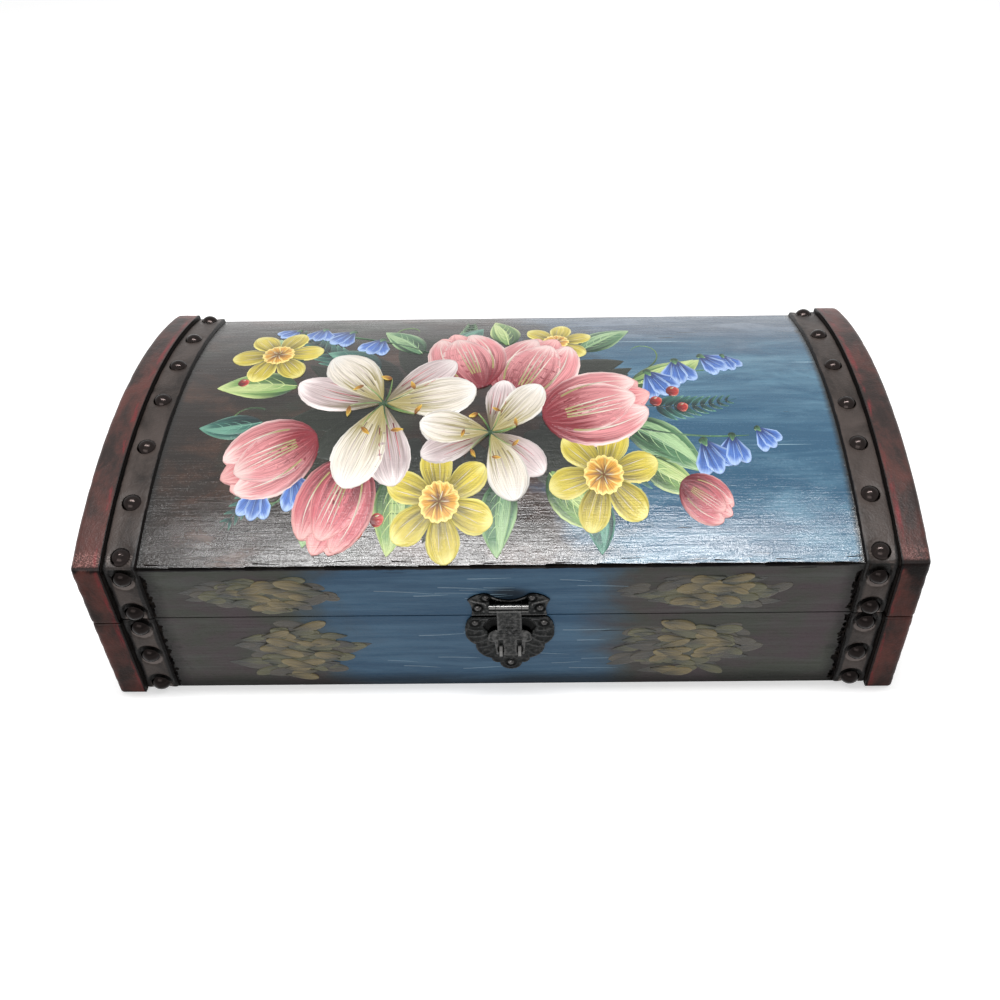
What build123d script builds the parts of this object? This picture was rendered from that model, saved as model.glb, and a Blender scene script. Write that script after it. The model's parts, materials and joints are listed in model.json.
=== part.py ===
from build123d import *
import math
import os

# Sizes are in millimetres. X runs along the box, Y from front to back and Z up.
# The origin is the middle of the underside.

# Body of the box
box_length = 300.0
box_width = 160.0
seam_height = 40.0
seam_gap = 0.5
lid_wall_height = 28.0
dome_rise = 15.0

# Boards
wall_thickness = 7.0
dome_ply = 3.0
bottom_ply = 3.0
dome_overhang = 0.4
glue_line = 0.1

# Covering of the two ends, which stand proud of the painted panels
band_width = 10.7
band_proud = 3.0
cover_thickness = 0.8
cover_outline_round = 2.4
cover_corner_round = 2.6
cover_seam_round = 1.0
skin_lift = 0.3
least_round = 0.2

# Straps beside the ends
strap_width = 11.9
strap_thickness = 1.5
strap_corner_round = 1.2
strap_seam_round = 0.8

# Domed studs
stud_radius = 3.5
stud_height = 2.1
stud_nail_radius = 0.7
stud_nail_length = 3.9
dome_stud_count = 7
dome_stud_gap = 1.4
dome_stud_shift = {
    "left": [0.0, -3.0, -2.0, -0.7, -1.2, -1.2, -0.1],
    "right": [-0.2, -2.3, -3.8, -6.9, -6.4, -4.0, 0.2],
}
stud_edge_gap = 0.4
lid_stud_drop = {"left": 6.3, "right": 8.2}
base_stud_shift = {"left": 0.6, "right": -1.1}

# Small nails of the hardware
pin_nail_radius = 0.5
pin_nail_length = 4.0
pin_head_radius = 1.15
pin_head_height = 0.6
nail_hole_clearance = 0.05
hole_spare = 0.2

# Felt linings
felt_thickness = 0.8
felt_rim = 2.5

# Front latch, with heights counted from the seam
latch_x = 2.8
latch_plate = 0.7
latch_barrel_radius = 1.6
latch_pin_radius = 0.6
latch_axis_height = 6.8
latch_knuckle_outer = 7.1
latch_knuckle_inner = 4.6
latch_knuckle_gap = 0.15
latch_plate_gap = 0.3
hasp_neck_half = 4.5
hasp_lobe_half = 8.0
hasp_foot_half = 5.3
hasp_foot_depth = 21.3
hasp_slot_offset = 3.5
hasp_slot_width = 1.7
hasp_slot_top = 12.3
hasp_slot_bottom = 20.6
hasp_waist_depth = 6.6
hasp_shoulder_depth = 13.4
hasp_shoulder_spread = 0.5
hasp_sole_rise = 0.9
latch_seam_lift = 0.3
latch_pin_end = 0.3
tab_side_clearance = 0.3
tab_reach = 2.6
tab_top = 16.0
tab_bottom = 19.9
tab_brow_reach = 2.08
tab_brow_drop = 1.3
tab_chin_reach = 2.34
tab_chin_rise = 1.0

# Back hinges
hinge_spacing = 170.0
hinge_width = 24.0
hinge_leaf_height = 14.0
hinge_leaf = 0.9
hinge_barrel_radius = 2.0
hinge_pin_radius = 0.9
hinge_pin_end = 0.4
hinge_set_back = 0.4
hinge_leaf_room = 0.5
hinge_knuckle_middle = 8.4
hinge_knuckle_gap = 0.2
hinge_leaf_gap = 0.35
hinge_stop_angle = 105.0
hinge_stop_slack = 0.5
hinge_stop_reach = 4.2
hinge_stop_thickness = 0.9
hinge_nail_across = 8.5
hinge_nail_up = 8.5
running_clearance = 0.05

# For making the solids: how near an edge lies to be picked, and how far a cut runs past its piece
edge_tolerance = 0.01
overshoot = 1.0

# Places that follow from the sizes above
half_length = box_length / 2
half_width = box_width / 2
lid_bottom = seam_height + seam_gap
lid_wall_top = lid_bottom + lid_wall_height
band_inner = half_length - band_width
panel_face = half_width - band_proud
panel_back = panel_face - wall_thickness
strap_outer = band_inner - glue_line
strap_inner = strap_outer - strap_width
strap_middle = (strap_outer + strap_inner) / 2
strap_face = panel_face + strap_thickness
strap_inset = band_proud - strap_thickness
edge_stud_margin = stud_radius + stud_edge_gap
dome_stud_margin = stud_radius + dome_stud_gap
dome_radius = (half_width**2 + dome_rise**2) / (2 * dome_rise)
dome_centre = lid_wall_top + dome_rise - dome_radius
hinge_behind_band = half_width + hinge_set_back
hinge_behind_leaf = panel_face + hinge_leaf + hinge_leaf_room + hinge_barrel_radius
hinge_axis_y = max(hinge_behind_band, hinge_behind_leaf)
hinge_axis_z = seam_height + seam_gap / 2
latch_axis_y = -(panel_face + latch_plate + latch_barrel_radius + latch_plate_gap)
latch_axis_z = seam_height + latch_axis_height
tall = box_length


def block(x, y, z):
    # A block from its low and high X, Y and Z
    size = [high - low for low, high in (x, y, z)]
    middle = [(high + low) / 2 for low, high in (x, y, z)]
    return Pos(*middle) * Box(*size)


def rod(start, end, radius, y, z):
    # A round bar along X
    return Pos((start + end) / 2, y, z) * Rot(Y=90) * Cylinder(radius, end - start)


def dome_rod(inset, x):
    # The full cylinder that the dome is a slice of
    return rod(x[0], x[1], dome_radius - inset, 0, dome_centre)


def arch(inset, bottom, x, corner=0.0):
    # The lid's end outline, set in all round, as a solid along X
    half = half_width - inset
    crown = dome_centre + dome_radius - inset
    edge = dome_centre + math.sqrt((dome_radius - inset) ** 2 - half**2)
    sides = Polyline((-half, edge), (-half, bottom), (half, bottom), (half, edge))
    top = ThreePointArc((half, edge), (0, crown), (-half, edge))
    solid = extrude(Plane.YZ.offset(x[0]) * make_face(sides + top), x[1] - x[0])
    if corner:
        along = solid.edges().filter_by(Axis.X)
        solid = fillet(along.filter_by(lambda e: abs(e.center().Z - edge) < edge_tolerance), corner)
    return solid


def round_end(solid, side, outline_round, seam_round, seam_z):
    # Rounds the outer face's outline above the seam, then the rim at the seam
    outer = solid.faces().sort_by(Axis.X)[-1 if side > 0 else 0]
    outline = outer.edges().filter_by(lambda e: abs(e.center().Z - seam_z) > edge_tolerance)
    solid = fillet(outline, outline_round)
    rim = solid.edges().filter_by(lambda e: abs(e.center().Z - seam_z) < edge_tolerance)
    rim = rim.filter_by(lambda e: abs(e.center().X) > band_inner + edge_tolerance)
    return fillet(rim, seam_round)


def side_span(side, low, high):
    # A span of X on the right (side 1) or mirrored to the left (side -1)
    return (low, high) if side > 0 else (-high, -low)


def lid_end_solid(side, inset, grow=0.0):
    # The lid end's outer form, set in all round from the leatherette's outside
    x = side_span(side, band_inner - grow, half_length - inset)
    bottom = lid_bottom + inset
    solid = arch(inset, bottom, x, cover_corner_round - inset)
    rim_round = max(cover_seam_round - inset, least_round)
    return round_end(solid, side, cover_outline_round - inset, rim_round, bottom)


def base_end_solid(side, inset, bottom, grow=0.0):
    # The base end's outer form, set in all round from the leatherette's outside
    x = side_span(side, band_inner - grow, half_length - inset)
    y = (-half_width + inset, half_width - inset)
    top = seam_height - inset
    solid = block(x, y, (bottom, top))
    outer = solid.faces().sort_by(Axis.X)[-1 if side > 0 else 0]
    solid = fillet(outer.edges().filter_by(Axis.Z), cover_outline_round - inset)
    rim = solid.edges().filter_by(lambda e: abs(e.center().Z - top) < edge_tolerance)
    rim = rim.filter_by(lambda e: abs(e.center().X) > band_inner + edge_tolerance)
    return fillet(rim, max(cover_seam_round - inset, least_round))


def domed_nail(head_radius, head_height, nail_radius, nail_length):
    # A domed head with its nail below, standing on the XY plane
    cap_radius = (head_radius**2 + head_height**2) / (2 * head_height)
    cap = Pos(0, 0, head_height - cap_radius) * Sphere(cap_radius)
    cap = cap & Pos(0, 0, head_height / 2) * Cylinder(head_radius + overshoot, head_height)
    return cap + Pos(0, 0, -nail_length / 2) * Cylinder(nail_radius, nail_length)


def nail_hole(nail_radius, nail_length):
    # The hole that such a nail fills, open above the XY plane
    depth = nail_length + hole_spare
    drill = Cylinder(nail_radius + nail_hole_clearance, depth + overshoot)
    return Pos(0, 0, (overshoot - depth) / 2) * drill


def stud():
    return domed_nail(stud_radius, stud_height, stud_nail_radius, stud_nail_length)


def stud_hole():
    return nail_hole(stud_nail_radius, stud_nail_length)


def pin_nail():
    return domed_nail(pin_head_radius, pin_head_height, pin_nail_radius, pin_nail_length)


def pin_nail_hole():
    return nail_hole(pin_nail_radius, pin_nail_length)


def put(make, places):
    # The same small piece at each place
    return [place * make() for place in places]


def facing(x, y, z, front=True):
    # The place of a nail or stud on the front, or on the back
    return Pos(x, y, z) * Rot(X=90 if front else -90)


def stud_places(side, part):
    # Where the studs of one strap sit on the lid or on the base
    name = "right" if side > 0 else "left"
    x = side * strap_middle
    if part == "base":
        middle = seam_height / 2 + base_stud_shift[name]
        heights = [edge_stud_margin, middle, seam_height - edge_stud_margin]
        return [facing(x, sign * strap_face, z, sign < 0) for sign in (-1, 1) for z in heights]
    heights = [lid_bottom + edge_stud_margin, lid_wall_top - lid_stud_drop[name]]
    places = [facing(x, sign * strap_face, z, sign < 0) for sign in (-1, 1) for z in heights]
    radius = dome_radius - strap_inset
    half_angle = math.asin(strap_face / radius)
    arc = 2 * half_angle * radius
    pitch = (arc - 2 * dome_stud_margin) / (dome_stud_count - 1)
    for i, shift in enumerate(dome_stud_shift[name]):
        angle = (dome_stud_margin + i * pitch + shift) / radius - half_angle
        places.append(Pos(x, 0, dome_centre) * Rot(X=-math.degrees(angle)) * Pos(0, 0, radius))
    return places


def lid_top_panel(grow=0.0):
    # Bent plywood, with its edge a little proud of the rails
    x = (-band_inner, band_inner)
    reach = panel_face + dome_overhang + grow
    slab = block(x, (-reach, reach), (lid_bottom, lid_bottom + tall))
    wide = (x[0] - overshoot, x[1] + overshoot)
    return slab & (dome_rod(band_proud - grow, wide) - dome_rod(band_proud + dome_ply + grow, wide))


def lid_rail(sign):
    # The lid's front or back board, shaped on top to the dome panel's underside
    y = sorted((sign * panel_back, sign * panel_face))
    board = block((-band_inner, band_inner), y, (lid_bottom, lid_bottom + tall))
    return board & dome_rod(band_proud + dome_ply + glue_line, (-half_length, half_length))


def lid_end_board(side):
    return lid_end_solid(side, cover_thickness + glue_line)


def lid_cover(side):
    # Leatherette wrapped over the end board's outside and rims
    return lid_end_solid(side, 0.0) - lid_end_solid(side, cover_thickness, grow=overshoot)


def base_end_board(side):
    return base_end_solid(side, cover_thickness + glue_line, 0.0)


def base_cover(side):
    outside = base_end_solid(side, 0.0, skin_lift)
    return outside - base_end_solid(side, cover_thickness, -overshoot, grow=overshoot)


def base_wall(sign):
    y = sorted((sign * panel_back, sign * panel_face))
    return block((-band_inner, band_inner), y, (0, seam_height))


def base_bottom():
    return block((-band_inner, band_inner), (-panel_back, panel_back), (0, bottom_ply))


def lid_strap(side):
    # Leatherette strip up the front, over the dome and down the back
    x = side_span(side, strap_inner, strap_outer)
    wide = (x[0] - overshoot, x[1] + overshoot)
    strip = arch(strap_inset, lid_bottom, x, strap_corner_round)
    strip -= arch(band_proud - glue_line, lid_bottom - overshoot, wide)
    strip -= lid_top_panel(glue_line)
    rims = strip.edges().filter_by(Axis.X)
    rims = rims.filter_by(lambda e: abs(e.center().Z - lid_bottom) < edge_tolerance)
    rims = rims.filter_by(lambda e: abs(e.center().Y) > strap_face - edge_tolerance)
    return fillet(rims, strap_seam_round)


def base_strap(side, sign):
    x = side_span(side, strap_inner, strap_outer)
    y = sorted((sign * panel_face, sign * strap_face))
    strip = block(x, y, (skin_lift, seam_height))
    rim = strip.edges().filter_by(Axis.X)
    rim = rim.filter_by(lambda e: abs(e.center().Z - seam_height) < edge_tolerance)
    rim = rim.filter_by(lambda e: abs(e.center().Y) > strap_face - edge_tolerance)
    return fillet(rim, strap_seam_round)


def base_floor_lining():
    reach_x = band_inner - glue_line
    reach_y = panel_back - glue_line
    return block((-reach_x, reach_x), (-reach_y, reach_y), (bottom_ply, bottom_ply + felt_thickness))


def base_wall_lining():
    low = bottom_ply + felt_thickness + glue_line
    high = seam_height - felt_rim
    reach_x = band_inner - glue_line
    reach_y = panel_back - glue_line
    ring = block((-reach_x, reach_x), (-reach_y, reach_y), (low, high))
    inner_x = reach_x - felt_thickness
    inner_y = reach_y - felt_thickness
    hollow_z = (low - overshoot, high + overshoot)
    return ring - block((-inner_x, inner_x), (-inner_y, inner_y), hollow_z)


def lid_lining():
    # Felt over the lid's four walls and under the dome
    low = lid_bottom + felt_rim
    reach_x = band_inner - glue_line
    reach_y = panel_back - glue_line
    inset = band_proud + dome_ply + glue_line
    outside = block((-reach_x, reach_x), (-reach_y, reach_y), (low, low + tall))
    outside = outside & dome_rod(inset, (-half_length, half_length))
    inner_x = reach_x - felt_thickness
    inner_y = reach_y - felt_thickness
    inside = block((-inner_x, inner_x), (-inner_y, inner_y), (low - overshoot, low + tall))
    return outside - (inside & dome_rod(inset + felt_thickness, (-half_length, half_length)))


def front_plate(edges, y_low, y_high):
    # A flat piece on the front, from edges drawn in X from the latch's middle and Z from the seam
    face = make_face(edges)
    solid = extrude(Plane.XZ * face, y_high - y_low)
    return Pos(latch_x, y_high, seam_height) * solid


def arc_chain(start, arcs):
    # Arcs joined end to end, each given by a middle point and an end point, and their mirror image
    chain = []
    for middle, end in arcs:
        chain.append(ThreePointArc(start, middle, end))
        chain.append(ThreePointArc(*[(-x, z) for x, z in (end, middle, start)]))
        start = end
    return chain


def latch_upper_outline():
    bottom = seam_gap + latch_seam_lift
    half = 13.8
    peak = (6.2, 10.8)
    arcs = [
        ((13.5, 4.6), (14.9, 8.8)),
        ((12.0, 11.2), (8.6, 12.1)),
        ((7.4, 11.8), peak),
    ]
    chain = arc_chain((half, bottom), arcs)
    dip = ThreePointArc(peak, (0, 8.7), (-peak[0], peak[1]))
    foot = Line((-half, bottom), (half, bottom))
    return Curve() + chain + [dip, foot]


def latch_lower_outline():
    half = 14.1
    top = -latch_seam_lift
    lobe = (4.2, -26.2)
    arcs = [
        ((15.9, -3.6), (16.4, -8.0)),
        ((15.6, -12.6), (12.9, -15.6)),
        ((11.3, -20.9), (7.2, -23.7)),
        ((6.6, -25.4), lobe),
    ]
    chain = arc_chain((half, top), arcs)
    tip = ThreePointArc(lobe, (0, -30.2), (-lobe[0], lobe[1]))
    head = Line((-half, top), (half, top))
    return Curve() + chain + [tip, head]


def latch_upper_plate():
    plate = front_plate(latch_upper_outline(), -panel_face - latch_plate, -panel_face)
    for sign in (-1, 1):
        near = latch_knuckle_inner + latch_knuckle_gap
        x = sorted((latch_x + sign * near, latch_x + sign * latch_knuckle_outer))
        knuckle = rod(x[0], x[1], latch_barrel_radius, latch_axis_y, latch_axis_z)
        neck_z = (latch_axis_z - latch_barrel_radius, latch_axis_z)
        knuckle += block(x, (latch_axis_y, -panel_face - latch_plate / 2), neck_z)
        plate += knuckle
    bore = latch_pin_radius + running_clearance
    reach = latch_knuckle_outer + overshoot
    plate -= rod(latch_x - reach, latch_x + reach, bore, latch_axis_y, latch_axis_z)
    return plate - put(pin_nail_hole, latch_upper_nail_places())


def latch_lower_plate():
    plate = front_plate(latch_lower_outline(), -panel_face - latch_plate, -panel_face)
    face = panel_face + latch_plate
    half = hasp_slot_width / 2 - tab_side_clearance
    for sign in (-1, 1):
        # A tongue that stands out through the hasp's slot, with a blunt nose
        side_view = Polyline(
            (-face + latch_plate / 2, -tab_top),
            (-face, -tab_top),
            (-face - tab_brow_reach, -tab_top - tab_brow_drop),
            (-face - tab_reach, -tab_bottom + tab_chin_rise),
            (-face - tab_chin_reach, -tab_bottom),
            (-face + latch_plate / 2, -tab_bottom),
            close=True,
        )
        centre = latch_x + sign * hasp_slot_offset
        tab = extrude(Plane.YZ.offset(centre - half) * make_face(side_view), 2 * half)
        plate += Pos(0, 0, seam_height) * tab
    return plate - put(pin_nail_hole, latch_lower_nail_places())


def hasp_outline():
    waist = -hasp_waist_depth
    shoulder = (hasp_foot_half + hasp_shoulder_spread, -hasp_shoulder_depth)
    arcs = [
        ((6.4, -7.2), (hasp_lobe_half, -10.2)),
        ((hasp_lobe_half - 0.2, -12.6), shoulder),
    ]
    chain = arc_chain((hasp_neck_half, waist), arcs)
    foot = (hasp_foot_half, hasp_sole_rise - hasp_foot_depth)
    sides = [Line(shoulder, foot), Line((-foot[0], foot[1]), (-shoulder[0], shoulder[1]))]
    sole = ThreePointArc(foot, (0, -hasp_foot_depth), (-foot[0], foot[1]))
    neck = Polyline(
        (-hasp_neck_half, waist),
        (-hasp_neck_half, latch_axis_height),
        (hasp_neck_half, latch_axis_height),
        (hasp_neck_half, waist),
    )
    return Curve() + chain + sides + [sole, neck]


def latch_hasp():
    # The hinged flap: rolled over the pin at its top, tangent to the roll's inner side
    inner = latch_axis_y + latch_barrel_radius
    flap = front_plate(hasp_outline(), inner - latch_plate, inner)
    half = latch_knuckle_inner
    flap += rod(latch_x - half, latch_x + half, latch_barrel_radius, latch_axis_y, latch_axis_z)
    reach = half + overshoot
    bore = latch_pin_radius + running_clearance
    flap -= rod(latch_x - reach, latch_x + reach, bore, latch_axis_y, latch_axis_z)
    for sign in (-1, 1):
        centre = latch_x + sign * hasp_slot_offset
        x = (centre - hasp_slot_width / 2, centre + hasp_slot_width / 2)
        z = (seam_height - hasp_slot_bottom, seam_height - hasp_slot_top)
        flap -= block(x, (inner - 2 * latch_plate, inner + latch_plate), z)
    return flap


def latch_pin():
    half = latch_knuckle_outer + latch_pin_end
    return rod(latch_x - half, latch_x + half, latch_pin_radius, latch_axis_y, latch_axis_z)


def latch_upper_nail_places():
    spots = [(-11.3, 4.5), (11.3, 4.5), (-8.3, 10.0), (8.3, 10.0)]
    return [facing(latch_x + x, -panel_face - latch_plate, seam_height + z) for x, z in spots]


def latch_lower_nail_places():
    spots = [(-12.7, -3.6), (12.7, -3.6), (0.0, -26.4)]
    return [facing(latch_x + x, -panel_face - latch_plate, seam_height + z) for x, z in spots]


def hinge_leaf_solid(x, up):
    # One leaf on the back, with its knuckles: two outer ones on the lid, one in the middle on the base
    half = hinge_width / 2
    gap = hinge_leaf_gap * up
    z = sorted((hinge_axis_z + gap, hinge_axis_z + up * hinge_leaf_height))
    leaf = block((x - half, x + half), (panel_face, panel_face + hinge_leaf), z)
    middle = hinge_knuckle_middle / 2
    outer = middle + hinge_knuckle_gap
    spans = [(-half, -outer), (outer, half)] if up > 0 else [(-middle, middle)]
    for low, high in spans:
        span = (x + low, x + high)
        leaf += rod(span[0], span[1], hinge_barrel_radius, hinge_axis_y, hinge_axis_z)
        web_z = sorted((hinge_axis_z + gap, hinge_axis_z + up * hinge_barrel_radius))
        leaf += block(span, (panel_face, hinge_axis_y), web_z)
    bore = hinge_pin_radius + running_clearance
    reach = half + overshoot
    leaf -= rod(x - reach, x + reach, bore, hinge_axis_y, hinge_axis_z)
    return leaf + hinge_stop(x, up) - put(pin_nail_hole, hinge_nail_places(x, up))


def hinge_stop(x, up):
    # A heel behind the barrel; the two heels meet when the lid is fully open
    middle = hinge_knuckle_middle / 2
    half = hinge_width / 2
    thickness = sorted((0, up * hinge_stop_thickness))
    root = (hinge_barrel_radius + hinge_pin_radius) / 2
    clear = hinge_barrel_radius + hinge_leaf_gap
    turn = up * (hinge_stop_angle + hinge_stop_slack) / 2
    if up > 0:
        heel = block((-half, half), (clear, hinge_stop_reach), thickness)
        for low, high in ((-half, -middle - hinge_knuckle_gap), (middle + hinge_knuckle_gap, half)):
            heel += block((low, high), (root, hinge_stop_reach), thickness)
    else:
        heel = block((-middle, middle), (root, hinge_stop_reach), thickness)
    return Pos(x, hinge_axis_y, hinge_axis_z) * Rot(X=turn) * heel


def hinge_pin(x):
    half = hinge_width / 2 + hinge_pin_end
    return rod(x - half, x + half, hinge_pin_radius, hinge_axis_y, hinge_axis_z)


def hinge_nail_places(x, up):
    z = hinge_axis_z + up * hinge_nail_up
    y = panel_face + hinge_leaf
    return [facing(x + sign * hinge_nail_across, y, z, front=False) for sign in (-1, 1)]


def group(pieces):
    # Several separate solids kept as one sub-part
    return Compound(children=list(pieces))


parts = {}
sides = {"left": -1, "right": 1}
ends = {"front": -1, "back": 1}

lid_studs = {name: stud_places(side, "lid") for name, side in sides.items()}
base_studs = {name: stud_places(side, "base") for name, side in sides.items()}
hinges = {name: side * hinge_spacing / 2 for name, side in sides.items()}

# Holes left by the nails of the studs and of the hardware
lid_holes = [h for places in lid_studs.values() for h in put(stud_hole, places)]
base_holes = [h for places in base_studs.values() for h in put(stud_hole, places)]
front_lid_holes = put(pin_nail_hole, latch_upper_nail_places())
front_base_holes = put(pin_nail_hole, latch_lower_nail_places())
back_lid_holes = [h for x in hinges.values() for h in put(pin_nail_hole, hinge_nail_places(x, 1))]
back_base_holes = [h for x in hinges.values() for h in put(pin_nail_hole, hinge_nail_places(x, -1))]

# Base
parts["base_front_panel"] = base_wall(-1) - base_holes - front_base_holes
parts["base_back_panel"] = base_wall(1) - base_holes - back_base_holes
parts["base_bottom_panel"] = base_bottom()
parts["base_floor_lining"] = base_floor_lining()
parts["base_wall_lining"] = base_wall_lining()
for name, side in sides.items():
    parts[f"base_{name}_end"] = base_end_board(side)
    parts[f"base_{name}_cover"] = base_cover(side)
    parts[f"base_{name}_studs"] = group(put(stud, base_studs[name]))
    for end, sign in ends.items():
        parts[f"base_{end}_{name}_strap"] = base_strap(side, sign) - put(stud_hole, base_studs[name])

# Lid
parts["lid_top_panel"] = lid_top_panel() - lid_holes
parts["lid_front_rail"] = lid_rail(-1) - lid_holes - front_lid_holes
parts["lid_back_rail"] = lid_rail(1) - lid_holes - back_lid_holes
parts["lid_lining"] = lid_lining()
for name, side in sides.items():
    parts[f"lid_{name}_end"] = lid_end_board(side)
    parts[f"lid_{name}_cover"] = lid_cover(side)
    parts[f"lid_{name}_strap"] = lid_strap(side) - put(stud_hole, lid_studs[name])
    parts[f"lid_{name}_studs"] = group(put(stud, lid_studs[name]))

# Latch
parts["latch_upper_plate"] = latch_upper_plate()
parts["latch_upper_nails"] = group(put(pin_nail, latch_upper_nail_places()))
parts["latch_pin"] = latch_pin()
parts["latch_hasp"] = latch_hasp()
parts["latch_lower_plate"] = latch_lower_plate()
parts["latch_lower_nails"] = group(put(pin_nail, latch_lower_nail_places()))

# Back hinges
for name, x in hinges.items():
    parts[f"{name}_hinge_lid_leaf"] = hinge_leaf_solid(x, 1)
    parts[f"{name}_hinge_base_leaf"] = hinge_leaf_solid(x, -1)
    parts[f"{name}_hinge_pin"] = hinge_pin(x)
    parts[f"{name}_hinge_lid_nails"] = group(put(pin_nail, hinge_nail_places(x, 1)))
    parts[f"{name}_hinge_base_nails"] = group(put(pin_nail, hinge_nail_places(x, -1)))

os.makedirs("parts", exist_ok=True)
for name, solid in parts.items():
    solid.label = name
    export_step(solid, f"parts/{name}.step")
print(len(parts), "sub-parts written")
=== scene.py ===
import bpy
import json
import math
import random
import numpy as np
from mathutils import Matrix, Vector, noise

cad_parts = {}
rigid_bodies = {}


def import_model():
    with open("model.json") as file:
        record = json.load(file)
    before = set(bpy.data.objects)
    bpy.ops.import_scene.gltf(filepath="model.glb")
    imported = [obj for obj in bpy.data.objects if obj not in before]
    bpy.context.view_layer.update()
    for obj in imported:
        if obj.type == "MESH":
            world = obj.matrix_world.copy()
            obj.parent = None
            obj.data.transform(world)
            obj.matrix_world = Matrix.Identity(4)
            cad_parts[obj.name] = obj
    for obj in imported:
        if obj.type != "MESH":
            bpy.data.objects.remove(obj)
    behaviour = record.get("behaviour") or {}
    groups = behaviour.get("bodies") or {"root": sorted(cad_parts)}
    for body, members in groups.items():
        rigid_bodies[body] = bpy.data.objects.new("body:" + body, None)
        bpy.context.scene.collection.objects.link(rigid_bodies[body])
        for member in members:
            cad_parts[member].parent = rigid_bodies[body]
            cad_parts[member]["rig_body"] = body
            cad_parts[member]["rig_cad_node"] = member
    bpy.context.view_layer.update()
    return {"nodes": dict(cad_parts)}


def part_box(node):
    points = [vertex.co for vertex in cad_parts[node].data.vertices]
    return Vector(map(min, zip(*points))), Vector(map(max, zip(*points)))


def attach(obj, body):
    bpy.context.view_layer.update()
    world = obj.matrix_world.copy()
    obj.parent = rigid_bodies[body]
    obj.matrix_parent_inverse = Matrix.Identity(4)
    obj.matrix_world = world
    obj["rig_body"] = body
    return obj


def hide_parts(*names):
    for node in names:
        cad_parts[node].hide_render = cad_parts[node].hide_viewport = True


# Dome-top box: painted lid and panels, leatherette ends and straps, bronze studs, blackened latch.
# Metres, X along the box, -Y is the front.
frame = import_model()
scene = bpy.context.scene
cadNodes = frame["nodes"]
mm = 0.001

# Sizes read off the frame, and the one that a box can't give
domeRise = 15 * mm
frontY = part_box("lid_front_rail")[0].y
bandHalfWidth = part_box("lid_left_cover")[1].y
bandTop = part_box("lid_left_cover")[1].z
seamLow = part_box("base_front_panel")[1].z
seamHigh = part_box("lid_front_rail")[0].z
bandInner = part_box("lid_top_panel")[1].x
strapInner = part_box("lid_right_strap")[0].x
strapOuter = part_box("lid_right_strap")[1].x
domeRadius = (bandHalfWidth ** 2 + domeRise ** 2) / (2 * domeRise)
domeCentre = bandTop - domeRadius
panelRadius = domeRadius - (bandHalfWidth + frontY)
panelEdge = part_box("lid_top_panel")[1].y
edgeTop = domeCentre + math.sqrt(panelRadius ** 2 - panelEdge ** 2)
print("frame loaded,", len(cadNodes), "nodes")


# Camera, floor and lamps
cameraView = {
    "place": (0.014284, -0.34419, 0.345857),
    "pitch": 42.276,
    "yaw": -0.813,
    "roll": -1.124,
    "lens": 39.746,
    "shift": (-0.0278, -0.0124),
    "sensor": 36,
    "nearest": 0.01,
}
studio = {
    "floorSize": 3.0,
    "floor": {"Base Color": (0.8, 0.8, 0.8, 1), "Roughness": 0.9, "Specular IOR Level": 0.1,
              "Emission Color": (1, 1, 1, 1)},
    "floorGlow": 0.42,
    "ambient": 0.34,
    "softbox": {"size": (0.70, 0.110), "place": (0.0, -0.012, 0.98), "aim": (0, 0, 0.05), "watts": 9.4},
    "frontFill": {"size": (1.0, 0.5), "place": (-0.25, -1.1, 0.75), "aim": (0, 0, 0.04), "watts": 4.5},
}


def placeCamera():
    bpy.ops.object.camera_add(location=cameraView["place"])
    camera = bpy.context.object
    camera.name = "photoView"
    turn = Matrix.Rotation(-math.radians(cameraView["yaw"]), 3, "Z")
    turn = turn @ Matrix.Rotation(math.radians(90 - cameraView["pitch"]), 3, "X")
    turn = turn @ Matrix.Rotation(math.radians(cameraView["roll"]), 3, "Z")
    camera.rotation_euler = turn.to_euler()
    camera.data.lens = cameraView["lens"]
    camera.data.sensor_width = cameraView["sensor"]
    camera.data.shift_x, camera.data.shift_y = cameraView["shift"]
    camera.data.clip_start = cameraView["nearest"]
    scene.camera = camera


def addLamp(name, lamp):
    bpy.ops.object.light_add(type="AREA", location=lamp["place"])
    light = bpy.context.object
    light.name = name
    light.data.shape = "RECTANGLE"
    light.data.size, light.data.size_y = lamp["size"]
    light.data.energy = lamp["watts"]
    way = Vector(lamp["aim"]) - Vector(lamp["place"])
    light.rotation_euler = way.to_track_quat("-Z", "Y").to_euler()


def seenDirectly(tree, target, low, high):
    # Feeds one value to light that falls on things, another to what the camera, a mirror or glass sees
    path = tree.nodes.new("ShaderNodeLightPath")
    seen = path.outputs["Is Camera Ray"]
    for kind in ("Is Glossy Ray", "Is Transmission Ray"):
        either = tree.nodes.new("ShaderNodeMath")
        either.operation = "MAXIMUM"
        tree.links.new(seen, either.inputs[0])
        tree.links.new(path.outputs[kind], either.inputs[1])
        seen = either.outputs[0]
    strength = tree.nodes.new("ShaderNodeMapRange")
    strength.inputs["To Min"].default_value = low
    strength.inputs["To Max"].default_value = high
    tree.links.new(seen, strength.inputs["Value"])
    tree.links.new(strength.outputs["Result"], target)


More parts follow.
